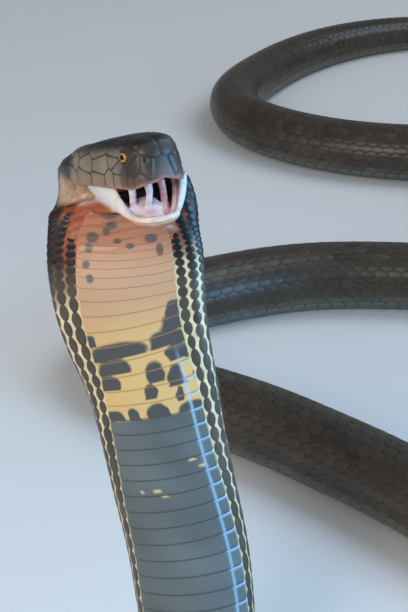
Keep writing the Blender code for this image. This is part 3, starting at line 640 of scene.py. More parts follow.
def net_colour(distance, angle, points):
    """Colour of the skin between the scales."""
    side = off_belly(angle)
    pale = smoothstep(distance, 62.0, 40.0) * smoothstep(side, 150.0, 105.0)
    late = np.where((angle % 360.0) < 180.0, 0.0, 2.2) + 0.5 * noise(points, 1.2, 34)
    pale = pale * smoothstep(distance - late, 6.5, 10.5)
    upper = smoothstep(distance - late, 10.5, 6.5)
    by_scutes = upper * smoothstep(side + 8 * noise(points, 0.7, 33), 62.0, 44.0)
    colour = mix(filled(BARE_SKIN, len(distance)), linear(NET_CREAM), pale)
    colour = mix(colour, linear(HOOD_DARK), upper * smoothstep(side, 120.0, 70.0))
    colour = mix(colour, linear(FOLD_BROWN), 0.8 * by_scutes)
    colour = mix(colour, linear(CHEEK_SKIN), 0.9 * cheek(distance, angle))
    return colour * (1 + 0.12 * noise(points, 0.8, 31))[:, None]


def bake_place(distance, angle):
    """Place of a point of the skin on its own unwrap, laid out as strips along the body."""
    share = np.clip(np.asarray(distance) / BODY_LENGTH, 0.0, 0.9999) * BAKE_STRIPS
    strip = np.floor(share)
    turn = ((np.asarray(angle) + 180.0) % 360.0) / 360.0
    return 0.01 + 0.98 * (share - strip), (strip + 0.04 + 0.92 * turn) / BAKE_STRIPS


def coat_object(name, points, faces, colours, places, spread, material):
    """Many small closed plates as one mesh, each with a patch of the bake map at its root."""
    count, each = points.shape[:2]
    whole = [[i + plate * each for i in face] for plate in range(count) for face in faces]
    thing = mesh_object(name, points.reshape(-1, 3), whole, material)
    paint_points(thing, colours.reshape(-1, 3))
    at = places[:, None, :] + spread[None, :, :] * BAKE_PATCH
    at = at.reshape(-1, 2)
    loops = np.empty(len(thing.data.loops), dtype=np.int32)
    thing.data.loops.foreach_get("vertex_index", loops)
    layer = thing.data.uv_layers.new(name="OFBake")
    layer.data.foreach_set("uv", at[loops].astype(np.float32).ravel())
    thing.data.shade_smooth()
    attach(thing, "root")
    return thing


def paint_points(thing, colours):
    """Stores a colour at each point of a mesh."""
    count = len(thing.data.vertices)
    layer = thing.data.color_attributes.new("Tint", "FLOAT_COLOR", "POINT")
    values = np.ones((count, 4), dtype=np.float32)
    values[:, :3] = colours
    layer.data.foreach_set("color", values.ravel())


def plate_pattern(power):
    """Unit plate seen from above: distance from its middle, then along and across; and its faces."""
    turn = np.arange(PLATE_SECTORS) * 2 * math.pi / PLATE_SECTORS
    reach = (np.abs(np.cos(turn)) ** power + np.abs(np.sin(turn)) ** power) ** (-1.0 / power)
    rings = PLATE_RINGS + (PLATE_UNDERSIDE,)
    radius = np.concatenate([[0.0], np.repeat(rings, PLATE_SECTORS)])
    along = np.concatenate([[0.0], np.outer(rings, reach * np.cos(turn)).ravel()])
    across = np.concatenate([[0.0], np.outer(rings, reach * np.sin(turn)).ravel()])
    faces = [(0, 1 + k, 1 + (k + 1) % PLATE_SECTORS) for k in range(PLATE_SECTORS)]
    for ring in range(len(PLATE_RINGS)):
        start = 1 + ring * PLATE_SECTORS
        for k in range(PLATE_SECTORS):
            following = (k + 1) % PLATE_SECTORS
            faces.append((start + k, start + PLATE_SECTORS + k, start + PLATE_SECTORS + following,
                          start + following))
    last = 1 + len(PLATE_RINGS) * PLATE_SECTORS
    faces.append(tuple(last + k for k in reversed(range(PLATE_SECTORS))))
    return radius, along, across, faces


def room_along(distance, angle):
    """Length of the surface at each place for one centimetre of the middle line."""
    ahead = surface(distance + ROOM_REACH, angle)
    behind = surface(np.maximum(distance - ROOM_REACH, 0.0), angle)
    return np.linalg.norm(ahead - behind, axis=1) / (2 * ROOM_REACH)


def scale_coat(zone, edges, covered, material):
    """The scales of one zone as thin domed plates, each a little over the next one behind."""
    name, start, end, rows, width, length = zone
    random = np.random.default_rng(int(start * 10) + 7)
    overlap = smoothstep(width, 0.85, 1.05)
    radius, along, across, faces = plate_pattern(1.60 if width < 1 else 1.55)
    roots = []
    for row in range(rows):
        share = (row + 0.5) / rows
        for k in range(len(edges) - 1):
            at = edges[k] + (0.5 + 0.5 * (row % 2)) * (edges[k + 1] - edges[k])
            if start <= at < end:
                roots.append((at, share, edges[k + 1] - edges[k]))
    roots = np.array(roots)
    angle = back_angle(roots[:, 0], roots[:, 1])
    roots = roots[~under_skin(covered, roots[:, 0], angle) & (room_along(roots[:, 0], angle) > CROWDED)]
    count = len(roots)
    size = 1 + (0.07 - 0.03 * overlap) * random.normal(size=count)
    distance = roots[:, 0:1] + along * (length * size * roots[:, 2] / 2)[:, None]
    share = roots[:, 1:2] + across * (width * size / rows / 2)[:, None]
    share = np.clip(share, -0.004, 1.004)
    distance = np.clip(distance, 0.3, BODY_LENGTH)
    dome = PLATE_DOME * (1 - radius ** 2.4)
    tilt = overlap * (PLATE_TILT * along - PLATE_DROP)
    skirt = np.where(np.arange(len(radius)) >= len(radius) - PLATE_SECTORS, -PLATE_SKIRT, 0.0)
    thin = smoothstep(BODY_LENGTH - roots[:, 0], 0.0, 60.0) * 0.6 + 0.4
    proud = (dome + tilt - PLATE_SINK + skirt) * thin[:, None]
    flat_distance = distance.ravel()
    flat_angle = back_angle(flat_distance, share.ravel())
    points = surface(flat_distance, flat_angle, proud.ravel())
    shade = np.repeat(random.normal(size=count), len(radius))
    colours = scale_colour(flat_distance, share.ravel(), flat_angle, points, np.tile(along, count),
                           np.tile(radius, count), shade)
    places = np.stack(bake_place(roots[:, 0], back_angle(roots[:, 0], roots[:, 1])), axis=1)
    spread = np.stack([along, across], axis=1)
    return coat_object(name, points.reshape(count, -1, 3), faces, colours, places, spread, material)


def scute_pattern(columns, rows_along):
    """One closed scute: places along and across it, height over the solids, and its faces."""
    rows = len(rows_along)
    height = np.interp(rows_along, [-0.10, 0.0, 0.25, 0.90, 0.97, 1.0, 1.015],
                       [-0.06, 0.0, 0.02, SCUTE_RISE, SCUTE_RISE * 0.9, 0.03, -0.03])
    share = np.repeat(np.array(rows_along), columns)
    turn = np.tile(np.linspace(-1.0, 1.0, columns), rows)
    side_drop = smoothstep(np.abs(turn), 0.96, 1.0)
    rounding = 0.45 * smoothstep(np.abs(turn), 0.88, 1.0) ** 2 * (share > 0.3)
    share = share - rounding * (share - 0.3)
    proud = np.repeat(height, columns) * (1 - side_drop) - SCUTE_SIDE_TUCK * side_drop
    front = list(range(columns))
    right = [row * columns + columns - 1 for row in range(1, rows)]
    rear = [(rows - 1) * columns + column for column in range(columns - 2, -1, -1)]
    left = [row * columns for row in range(rows - 2, 0, -1)]
    rim = front + right + rear + left
    total = rows * columns
    faces = grid_quads(rows, columns, closed=False)
    for k in range(len(rim)):
        following = (k + 1) % len(rim)
        faces.append([rim[k], total + k, total + following, rim[following]])
    faces.append([total + k for k in range(len(rim))])
    under = np.minimum(proud[rim], 0.0) - SCUTE_UNDER
    return (np.concatenate([share, share[rim]]), np.concatenate([turn, turn[rim]]),
            np.concatenate([proud, under]), faces)


def scute_coat(name, edges, columns, rows_along, material, covered):
    """Belly scutes as curved plates, each stepping over the next."""
    share, turn, height, faces = scute_pattern(columns, rows_along)
    starts = edges[:-1]
    count = len(starts)
    sag = curve_through(SCUTE_SAG, starts)[:, None] * (0.4 - turn[None, :] ** 2)
    distance = (starts[:, None] + share[None, :] * np.diff(edges)[:, None] + sag).ravel()
    angle = np.tile(turn, count) * curve_through(SCUTE_REACH, distance) * SCUTE_OVERHANG
    proud = np.tile(height, count)
    points = surface(np.clip(distance, 0.0, BODY_LENGTH), angle, proud)
    if covered is not None:
        points = onto_skin(covered, distance, points, proud)
    colours = belly_colour(distance, angle, points)
    colours = edge_marks(colours, distance, angle, np.tile(share, count))
    places = np.stack(bake_place(starts, np.zeros(count)), axis=1)
    spread = np.stack([share * 2 - 1, turn], axis=1)
    return coat_object(name, points.reshape(count, -1, 3), faces, colours, places, spread, material)


def mesh_object(name, points, faces, material=None):
    """An object in metres from points in centimetres and faces of point numbers."""
    mesh = bpy.data.meshes.new(name)
    mesh.from_pydata((np.asarray(points) * CM).tolist(), [], faces)
    mesh.validate()
    thing = bpy.data.objects.new(name, mesh)
    bpy.context.scene.collection.objects.link(thing)
    if material is not None:
        mesh.materials.append(material)
    return thing


def grid_quads(rows, columns, closed):
    """Faces of a grid of points, row by row, closed round each row or open."""
    row = np.arange(rows - 1)[:, None] * columns
    column = np.arange(columns if closed else columns - 1)[None, :]
    following = (column + 1) % columns
    return np.stack([row + column, row + following, row + columns + following, row + columns + column],
                    axis=-1).reshape(-1, 4).tolist()


def outline(length, rounding, power, near_width, far_width, steps):
    """Points round a head seen from above, from the near rear corner past the tip to the far one."""
    front_steps, side_steps = steps
    turn = np.linspace(0.0, math.pi / 2, front_steps + 1)
    front_back = rounding * (1.0 - np.cos(turn) ** (2.0 / power))
    front_side = np.sin(turn) ** (2.0 / power)
    rest = np.linspace(rounding, length, side_steps + 1)[1:]
    back = np.concatenate([front_back, rest])
    swell = np.concatenate([front_side, np.ones(side_steps)])
    near = -swell * curve_through(near_width, back)
    far = swell * curve_through(far_width, back)
    return np.concatenate([back[::-1], back[1:]]), np.concatenate([near[::-1], far[1:]])


def rounded_profile(profile, count):
    """More layers along a profile of (inward, up), evenly by its length."""
    table = np.asarray(profile, float)
    length = np.concatenate([[0.0], np.cumsum(np.linalg.norm(np.diff(table, axis=0), axis=1))])
    keys = np.column_stack([length, table])
    return curve_through(keys, np.linspace(0.0, length[-1], count))


def closed_grid(grid):
    """Points and faces of layers whose first and last meet on a middle line, with the back closed."""
    layers, count = grid.shape[:2]
    faces = grid_quads(layers, count, closed=False)
    near = [layer * count for layer in range(layers)]
    far = [layer * count + count - 1 for layer in range(layers)]
    faces.append(near + far[::-1][1:-1])
    return grid.reshape(-1, 3), faces


def upper_head_rows():
    """Rows of points of the roof of the mouth, then of the outer dome from the lip to the crown."""
    back, side = outline(HEAD_LENGTH + HEAD_BACK_SPARE, SNOUT_ROUND, SNOUT_POWER, HEAD_WIDTH, HEAD_WIDTH,
                         HEAD_STEPS)
    spine = np.maximum(back, SPINE_START)
    lip = lip_height(back, side)
    layers = []
    for inward, rise in rounded_profile(PALATE_PROFILE, PALATE_ROWS)[::-1]:
        layers.append((inward, lip + rise))
    for inward, up in rounded_profile(HEAD_PROFILE, DOME_ROWS):
        at = back + inward * (spine - back)
        layers.append((inward, lip * (1 - up) + up * curve_through(CROWN_HEIGHT, at)))
    return np.array([head_point(back + inward * (spine - back), side * (1 - inward), height)
                     for inward, height in layers])


def under_lip(points):
    """Keeps points of the lower jaw and throat a hair below the upper lip."""
    back, _, rise = in_head(points)
    limit = curve_through(LIP_HEIGHT, back) - 2 * GAP
    excess = np.maximum(rise - limit, 0.0)
    return points - excess[..., None] * HEAD_AXES[2]


def jaw_outline(length, steps):
    """Round the lower jaw: distance back, to the side, back to the floor's middle, and the rim's rise."""
    back, side = outline(length, CHIN_ROUND, JAW_POWER, NEAR_JAW_WIDTH, FAR_JAW_WIDTH, steps)
    rise_to = np.where(side < 0, NEAR_RIM_RISE_TO, FAR_RIM_RISE_TO)
    return back, side, np.maximum(back, JAW_SPINE_START), RIM_RISE * smoothstep(back, RIM_RISE_FROM, rise_to)


def jaw_rows():
    """Rows of points of the jaw's bowl, from the middle of its floor over the rim to its underside."""
    back, side, spine, rise = jaw_outline(JAW_LENGTH, JAW_STEPS)
    rows = []
    for inward, height, share in rounded_profile(JAW_LAYERS, JAW_ROWS):
        points = jaw_point(back + inward * (spine - back), side * (1 - inward), height + share * rise)
        rows.append(under_lip(points))
    return np.array(rows)


def bent_line(points, count):
    """A smooth line through a few points, or through rows of point and sizes."""
    keys = [(i, *point) for i, point in enumerate(points)]
    return curve_through(keys, np.linspace(0, len(points) - 1, count))


def tube(name, rings):
    """A closed body through rings of points, with a flat cap at each end."""
    rows, count = rings.shape[:2]
    faces = grid_quads(rows, count, closed=True)
    faces.append(list(range(count))[::-1])
    faces.append([(rows - 1) * count + k for k in range(count)])
    return mesh_object(name, rings.reshape(-1, 3), faces)


def tree_of(rows, closed=False):
    """A search tree over a grid of points."""
    points = rows.reshape(-1, 3)
    return BVHTree.FromPolygons(points.tolist(), grid_quads(rows.shape[0], rows.shape[1], closed))


def throat_rings():
    """A closed tube of oval sections through the inside of the bend under the head."""
    rows = bent_line(THROAT, THROAT_RING_COUNT)
    angles = np.radians(np.arange(0.0, 360.0, THROAT_STEP))
    heading = unit(np.gradient(rows[:, :3], axis=0))
    across = unit(np.cross(heading, np.cross(np.array([1.0, 0.0, 0.0]), heading)))
    facing = np.cross(across, heading)
    rings = (rows[:, None, :3] + (rows[:, 3:4] * np.cos(angles))[..., None] * across[:, None]
             + (rows[:, 4:5] * np.sin(angles))[..., None] * facing[:, None])
    return under_lip(rings)


def body_rings(start, end, ring_step, columns):
    """Rings of the body's skin between two distances: level with the head and deeper under the scales.

    The start of the rear part is tucked into the end of the front part.
    """
    stops = np.linspace(start, end, max(2, int(round((end - start) / ring_step)) + 1))
    angles = np.linspace(0.0, 360.0, columns, endpoint=False)
    distance, angle = np.meshgrid(stops, angles, indexing="ij")
    deep = -SKIN_DEPTH * smoothstep(distance.ravel(), 0.2, 2.0)
    if start >= BODY_SKIN_FROM:
        deep = deep - SKIN_TUCK * smoothstep(distance.ravel(), FRONT_HOLDS_TO, BODY_SKIN_FROM)
        deep = deep - SKIN_STEP * smoothstep(distance.ravel(), FRONT_ENDS + 3.0, FRONT_ENDS)
    points = surface(distance.ravel(), angle.ravel(), deep)
    return points.reshape(len(stops), columns, 3)


def apply_modifiers(body):
    ready = body.evaluated_get(bpy.context.evaluated_depsgraph_get())
    mesh = bpy.data.meshes.new_from_object(ready)
    body.modifiers.clear()
    body.data = mesh


def melt(thing, voxel, smoothing):
    """Makes one soft surface of overlapping closed parts."""
    change = thing.modifiers.new("melt", "REMESH")
    change.mode = "VOXEL"
    change.voxel_size = voxel * CM
    smooth = thing.modifiers.new("smooth", "SMOOTH")
    smooth.factor = 0.5
    smooth.iterations = smoothing
    apply_modifiers(thing)


def fuse(body, others):
    """Fuses closed meshes into one body."""
    group = bpy.data.collections.new("fused")
    for thing in others:
        group.objects.link(thing)
    change = body.modifiers.new("fuse", "BOOLEAN")
    change.operation = "UNION"
    change.solver = "MANIFOLD"
    change.operand_type = "COLLECTION"
    change.collection = group
    apply_modifiers(body)
    for thing in others:
        bpy.data.objects.remove(thing)
    bpy.data.collections.remove(group)


def merge_doubles(thing):
    shape = bmesh.new()
    shape.from_mesh(thing.data)
    bmesh.ops.remove_doubles(shape, verts=shape.verts, dist=MERGE_REACH_METRES)
    bmesh.ops.dissolve_degenerate(shape, edges=shape.edges, dist=MERGE_REACH_METRES / 2)
    bmesh.ops.recalc_face_normals(shape, faces=shape.faces)
    shape.to_mesh(thing.data)
    shape.free()


HEAD_ROWS = upper_head_rows()
BOWL_ROWS = jaw_rows()
THROAT_RINGS = throat_rings()
NECK_RINGS = body_rings(0.0, FRONT_ENDS, FRONT_RING_STEP, FRONT_COLUMNS)
PAST_FRONT_RINGS = body_rings(0.0, FRONT_ENDS + 2.0, FRONT_RING_STEP, FRONT_COLUMNS)
REGIONS = {
    "palate": tree_of(HEAD_ROWS[:PALATE_ROWS]), "dome": tree_of(HEAD_ROWS[PALATE_ROWS:]),
    "bowl": tree_of(BOWL_ROWS[:JAW_RIM_ROW]), "jaw": tree_of(BOWL_ROWS[JAW_RIM_ROW:]),
    "throat": tree_of(THROAT_RINGS, True), "neck": tree_of(PAST_FRONT_RINGS, True),
}


def region_shares(points):
    """How much each point of the skin belongs to each region, by its distance to the region's surface."""
    far = np.empty((len(points), len(REGIONS)))
    for column, tree in enumerate(REGIONS.values()):
        far[:, column] = [tree.find_nearest(Vector(p))[3] for p in points]
    share = np.exp(-((far - far.min(axis=1, keepdims=True)) / REGION_BLEND))
    share /= share.sum(axis=1, keepdims=True)
    return dict(zip(REGIONS, share.T))


def front_skin():
    """Head, jaw, throat and the top of the neck as one fine closed skin."""
    pieces = [mesh_object("head_shape", *closed_grid(HEAD_ROWS)),
              mesh_object("jaw_shape", *closed_grid(BOWL_ROWS)),
              tube("throat", THROAT_RINGS), tube("neck", NECK_RINGS)]
    for piece in pieces:
        merge_doubles(piece)
    mesh = bpy.data.meshes.new("front")
    shape = bmesh.new()
    for piece in pieces:
        shape.from_mesh(piece.data)
    shape.to_mesh(mesh)
    shape.free()
    for piece in pieces:
        bpy.data.objects.remove(piece)
    front = bpy.data.objects.new("skin", mesh)
    bpy.context.scene.collection.objects.link(front)
    melt(front, HEAD_VOXEL, SKIN_SMOOTHING)
    return front


def studio():
    """Pale floor, soft lights and the photo's camera."""
    corners = [(x * FLOOR_HALF_CM, y * FLOOR_HALF_CM, 0) for x, y in ((-1, -1), (1, -1), (1, 1), (-1, 1))]
    floor = mesh_object("floor", corners, [(0, 1, 2, 3)], plain_material("floor", FLOOR_COLOUR, 0.9))
    world = bpy.data.worlds.new("studio")
    bpy.context.scene.world = world
    world.use_nodes = True
    world.node_tree.nodes["Background"].inputs["Color"].default_value = (*WORLD_COLOUR, 1.0)
    world.node_tree.nodes["Background"].inputs["Strength"].default_value = WORLD_STRENGTH
    for name, light in LIGHTS.items():
        area_light(name, *light)
    bpy.context.scene.view_settings.view_transform = "Standard"
    camera = bpy.data.cameras.new("camera")
    camera.sensor_width = SENSOR_WIDTH
    camera.lens = FOCAL_PIXELS * SENSOR_WIDTH / PHOTO_HEIGHT_PIXELS
    holder = bpy.data.objects.new("camera", camera)
    holder.location = CAMERA_AT
    holder.rotation_euler = (math.radians(CAMERA_TILT), 0.0, 0.0)
    bpy.context.scene.collection.objects.link(holder)
    bpy.context.scene.camera = holder


def area_light(name, at, towards, size, power, colour, spread):
    light = bpy.data.lights.new(name, "AREA")
    light.spread = math.radians(spread)
    light.shape = "DISK"
    light.size = size
    light.energy = power
    light.color = colour
    holder = bpy.data.objects.new(name, light)
    holder.location = at
    holder.rotation_euler = (Vector(towards) - Vector(at)).to_track_quat("-Z", "Y").to_euler()
    bpy.context.scene.collection.objects.link(holder)


def plain_material(name, colour, roughness):
    material = bpy.data.materials.new(name)
    material.use_nodes = True
    shader = material.node_tree.nodes["Principled BSDF"]
    shader.inputs["Base Color"].default_value = (*colour, 1.0)
    shader.inputs["Roughness"].default_value = roughness
    return material


def tinted_material(name, roughness):
    """A satin skin that takes its colour from the points of the mesh, with fine grain."""
    material = bpy.data.materials.new(name)
    material.use_nodes = True
    nodes = material.node_tree.nodes
    links = material.node_tree.links
    shader = nodes["Principled BSDF"]
    tint = nodes.new("ShaderNodeVertexColor")
    tint.layer_name = "Tint"
    links.new(tint.outputs["Color"], shader.inputs["Base Color"])
    shader.inputs["Roughness"].default_value = roughness
    grain = nodes.new("ShaderNodeTexNoise")
    grain.inputs["Scale"].default_value = 900.0
    bump = nodes.new("ShaderNodeBump")
    bump.inputs["Strength"].default_value = 0.12
    bump.inputs["Distance"].default_value = 0.0004
    links.new(grain.outputs["Fac"], bump.inputs["Height"])
    links.new(bump.outputs["Normal"], shader.inputs["Normal"])
    return material


def skin_tree(skin):
    """A search tree over the skin, in centimetres."""
    points, _ = mesh_points(skin)
    faces = [list(face.vertices) for face in skin.data.polygons]
    return BVHTree.FromPolygons(points.tolist(), faces)


def under_skin(tree, distance, angle):
    """True for places on the body that the throat, the jaw or the head covers."""
    covered = np.zeros(len(distance), dtype=bool)
    for i in np.flatnonzero(distance < FRONT_HOLDS_TO):
        at = Vector(surface(distance[i:i + 1], angle[i:i + 1])[0])
        hit, normal, _, far = tree.find_nearest(at)
        covered[i] = normal.dot(at - hit) < 0 and far > HIDDEN_DEPTH
    return covered


def onto_skin(tree, distance, points, proud):
    """Lifts points near the throat onto the skin, each to its height over it."""
    lifted = points.copy()
    _, _, belly, _ = frame_at(distance)
    for i in np.flatnonzero(distance < FRONT_HOLDS_TO):
        way = Vector(belly[i])
        hit, normal, _, _ = tree.ray_cast(Vector(points[i]) + way * LIFT_REACH, -way, LIFT_REACH + 0.3)
        if hit is not None and normal.dot(way) > 0.2:
            lifted[i] = hit + way * float(proud[i] + SKIN_DEPTH + LIFT_SPARE)
    return lifted


def body_place(points):
    """Nearest distance along the body and the angle round it, for points of the skin."""
    finder = mathutils.kdtree.KDTree(len(LINE))
    for i, at in enumerate(LINE):
        finder.insert(at, i)
    finder.balance()
    index = np.array([finder.find(p)[1] for p in points])
    distance = ALONG[index]
    point, _, belly, across = frame_at(distance)
    offset = points - point
    half, under, over, _ = curve_through(GIRTH, distance).T
    right = np.sum(offset * across, axis=1)
    down = np.sum(offset * belly, axis=1)
    angle = np.degrees(np.arctan2(right / half, down / np.where(down > 0, under, over)))
    return distance, angle


def mesh_points(thing):
    """Points and outward directions of a mesh, in centimetres."""
    count = len(thing.data.vertices)
    points = np.empty(count * 3)
    normals = np.empty(count * 3)
    thing.data.vertices.foreach_get("co", points)
    thing.data.vertex_normals.foreach_get("vector", normals)
    return points.reshape(-1, 3) / CM, normals.reshape(-1, 3)


def cells(points, centres, weights):
    """Number of the nearest centre, and half the lead it has over the next one."""
    far = np.linalg.norm(points[:, None, :] - centres[None, :, :], axis=2) - weights
    order = np.partition(far, 1, axis=1)
    return far.argmin(axis=1), (order[:, 1] - order[:, 0]) / 2


def shield_centres():
    """Centres of the head's shields on both sides, and their weights."""
    centres = []
    weights = []
    for back, side, rise, weight in SHIELDS.values():
        for sign in ((1.0, -1.0) if side else (1.0,)):
            at = head_point(back, sign * side, rise)
            centres.append(REGIONS["dome"].find_nearest(Vector(at))[0])
            weights.append(weight)
    return np.array(centres), np.array(weights)


def shield_edges(points):
    """For points of the head: which shield they are on and how far from its edge."""
    return cells(points, *shield_centres())


def move_points(thing, points):
    thing.data.vertices.foreach_set("co", (points * CM).ravel())
    thing.data.update()


def eye_axis(far):
    """Middle of an eye and the direction that it looks in."""
    side = EYE_AT[1] if far else -EYE_AT[1]
    centre = head_point(EYE_AT[0], side, EYE_AT[2])
    forward, across, up = HEAD_AXES
    return centre, unit(np.sign(side) * across + EYE_AHEAD * forward + EYE_UP * up)


def shape_front(front):
    """Raises the shields, brows, lips and folds of the front skin."""
    points, normals = mesh_points(front)
    share = region_shares(points)
    back, side, rise = in_head(points)
    push = np.zeros(len(points))
    on_dome = share["dome"] > 0.05
    _, edge = shield_edges(points[on_dome])
    lip = lip_height(back, side)
    over_lip = smoothstep(rise - lip, 0.02, 0.15)
    shield = SHIELD_RISE * smoothstep(edge, 0.0, 0.20) - SUTURE_DEPTH * np.exp(-(edge / SUTURE_WIDTH) ** 2)
    push[on_dome] += shield * (share["dome"] * over_lip)[on_dome]
    push += brow(points) * share["dome"]
    push += LIP_ROLL * share["dome"] * np.exp(-((rise - lip - 0.10) / 0.10) ** 2)
    push += socket(points) + nostril_dent(points)
    push += jaw_relief(points) * share["jaw"]
    push += throat_relief(points) * share["throat"]
    move_points(front, points + push[:, None] * normals)


def brow(points):
    """The ridge over each eye, from before the eye to behind it."""
    ridge = 0.0
    for sign in (-1.0, 1.0):
        middles = (BROW_AT[0], sign * BROW_AT[1], BROW_AT[2])
        off = 0.0
        for part, middle, spread in zip(in_head(points), middles, BROW_SPREAD):
            off = off + ((part - middle) / spread) ** 2
        ridge = ridge + BROW_RISE * np.exp(-off)
    return ridge


def socket(points):
    """A shallow round hollow with a raised rim about each eye."""
    dent = 0.0
    for far in (False, True):
        centre, axis = eye_axis(far)
        offset = points - centre
        out = offset @ axis
        across = np.linalg.norm(offset - out[:, None] * axis, axis=1)
        rim = SOCKET_RIM * np.exp(-((across - 0.51) / 0.07) ** 2)
        dent = dent + (out > 0) * (-SOCKET_DEPTH * smoothstep(across, 0.46, 0.36) + rim)
    return dent


def off_nostril(points, sign):
    """Distance from the nostril of one side."""
    return np.linalg.norm(points - head_point(NOSTRIL_AT[0], sign * NOSTRIL_AT[1], NOSTRIL_AT[2]), axis=1)


def nostril_dent(points):
    dent = 0.0
    for sign in (-1.0, 1.0):
        dent = dent - NOSTRIL_DEPTH * np.exp(-(off_nostril(points, sign) / NOSTRIL_RADIUS) ** 2)
    return dent


def jaw_relief(points):
    """Scales along the outer side of the lower jaw as shallow grooves."""
    back, _, rise = in_frame(CHIN, JAW_AXES, points)
    step = np.abs((back / JAW_SCALE_LENGTH) % 1.0 - 0.5)
    groove = np.exp(-(((0.5 - step) * JAW_SCALE_LENGTH) / 0.05) ** 2)
    return -JAW_GROOVE_DEPTH * groove * smoothstep(rise, -0.9, -0.4)


def throat_folds(points):
    """Rises and falls of the loose skin behind the jaw, which runs down and forward from its corner."""
    back, _, rise = in_frame(CHIN, JAW_AXES, points)
    down = 1.35 - rise - 0.42 * back
    return down, np.sin(down * 8.5 + 0.7 * noise(points, 1.4, 41))


def throat_relief(points):
    """Soft folds of the throat's skin."""
    down, fold = throat_folds(points)
    return FOLD_RISE * fold * smoothstep(down, -1.6, -0.6)


def dome_colour(points):
    """Colour of the head's shields, with dark sutures, a pinkish lip and painted shade in the nostrils and on
    the front of the snout.
    """
    back, side, rise = in_head(points)
    lip = lip_height(back, side)
    number, edge = shield_edges(points)
    random = np.random.default_rng(17)
    tone = random.normal(size=number.max() + 1)[number]
    crown = smoothstep(rise, 1.9, 2.75)
    # The snout is darkened like the crown; on its front face this dark is painted shade
    snout = smoothstep(back, 3.2, 1.6)
    near_lip = 0.6 * smoothstep(rise - lip, 1.3, 0.4)
    colour = mix(filled(TEMPLE, len(points)), linear(HEAD_TOP), np.maximum(crown, 0.85 * snout))
    colour = mix(colour, linear(LIP_BROWN), near_lip * (1 - 0.6 * snout))
    colour = colour * (1 + 0.07 * tone + 0.10 * noise(points, 0.9, 51))[:, None]
    colour = mix(colour, linear(SUTURE), (0.95 - 0.35 * snout) * np.exp(-(edge / SUTURE_WIDTH) ** 2))
    # Painted shade inside each nostril
    for sign in (-1.0, 1.0):
        colour = mix(colour, linear(NOSTRIL_SHADOW), smoothstep(off_nostril(points, sign), 0.17, 0.08))
    return mix(colour, linear(LIP_PINK), 0.85 * smoothstep(rise - lip, 0.26, 0.05))


def mouth_colour(points):
    """Pink lining with painted shade that darkens it into the gullet."""
    back, _, _ = in_frame(CHIN, JAW_AXES, points)
    flecks = 0.35 + 0.25 * noise(points, 0.5, 61)
    colour = mix(filled(MOUTH_PINK, len(points)), linear(MOUTH_ROSE), flecks)
    return mix(colour, linear(MOUTH_SHADOW), smoothstep(back, 2.6, 4.2))


def jaw_colour(points):
    """White lip of the lower jaw, a red-orange line under it, and tan skin below that, its tan darkened by
    painted shade.
    """
    back, _, rise = in_frame(CHIN, JAW_AXES, points)
    under = -0.34 - 0.16 * np.maximum(back - 1.0, 0.0) - rise
    colour = mix(filled(JAW_CREAM, len(points)), linear(JAW_UNDER), smoothstep(under, -0.5, 0.0))
    colour = mix(colour, linear(THROAT_TAN_IN_SHADE), smoothstep(under, 0.0, 0.25) * smoothstep(back, 4.0, 2.5))
    line = np.exp(-(under / 0.07) ** 2) * smoothstep(back, 4.0, 2.0)
    colour = mix(colour, linear(JAW_LINE), 0.8 * line)
    colour = colour * (1 + 0.05 * noise(points, 0.7, 71))[:, None]
    return mix(colour, linear(JAW_GROOVE), -12 * np.minimum(jaw_relief(points), 0.0))


def throat_colour(points):
    """Cream folds under the jaw's corner, an orange-brown one below them, then tan darkened by painted shade,
    with more painted shade in the folds' hollows.
    """
    down, fold = throat_folds(points)
    colour = mix(filled(JAW_CREAM, len(points)), linear(FOLD_BROWN), smoothstep(down, -0.9, -0.4))
    colour = mix(colour, linear(THROAT_TAN_IN_SHADE), smoothstep(down, 0.5, 1.3))
    # Painted shade in the hollows of the folds
    colour = mix(colour, linear(FOLD_BROWN) * 0.6, 0.55 * smoothstep(fold, -0.35, -0.95))
    return colour * (1 + 0.08 * noise(points, 0.6, 81))[:, None]


def colour_skin(skin):
    """Paints the skin by region."""
    points, _ = mesh_points(skin)
    distance, angle = body_place(points)
    colour = net_colour(distance, angle, points)
    front = (distance < FRONT_ENDS + 1.0)
    near = points[front]
    share = region_shares(near)
    painted = (share["dome"][:, None] * dome_colour(near)
               + (share["palate"] + share["bowl"])[:, None] * mouth_colour(near)
               + share["jaw"][:, None] * jaw_colour(near) + share["throat"][:, None] * throat_colour(near)
               + share["neck"][:, None] * colour[front])
    colour[front] = painted
    paint_points(skin, np.clip(colour, 0.0, 1.0))


def soft_tube(path, radii, flat, sectors):
    """Points and faces of a closed tube along a path, a little flattened. Upright ones flare at the ends."""
    path = np.asarray(path, float)
    count = len(path)
    heading = unit(np.gradient(path, axis=0))
    upright = abs(unit(path[-1] - path[0]) @ HEAD_AXES[2]) > 0.6
    side = unit(np.cross(heading, HEAD_AXES[0] if upright else np.array([0.0, 0.0, 1.0])))
    over = np.cross(side, heading)
    turn = np.arange(sectors) * 2 * math.pi / sectors
    ring = (np.cos(turn)[None, :, None] * side[:, None, :]
            + flat * np.sin(turn)[None, :, None] * over[:, None, :])
    if upright:
        radii = radii * (0.8 + 0.7 * np.linspace(-1.0, 1.0, count) ** 2)
    points = path[:, None, :] + np.asarray(radii, float)[:, None, None] * ring
    faces = grid_quads(count, sectors, closed=True)
    faces.append(list(range(sectors))[::-1])
    faces.append([(count - 1) * sectors + k for k in range(sectors)])
    return points.reshape(-1, 3), faces


def rounded_radii(width, count):
    """Radii along a tube that close it roundly at both ends."""
    share = np.linspace(-1.0, 1.0, count)
    return width * np.maximum(1 - np.abs(share) ** 5, 0.02) ** 0.5


def gum_path(inward, height, rim_share, length):
    """A line round the inside of the lower jaw, from the near corner past the chin to the far one."""
    back, side, spine, rise = jaw_outline(length, GUM_STEPS)
    return jaw_point(back + inward * (spine - back), side * (1 - inward), height + rim_share * rise)


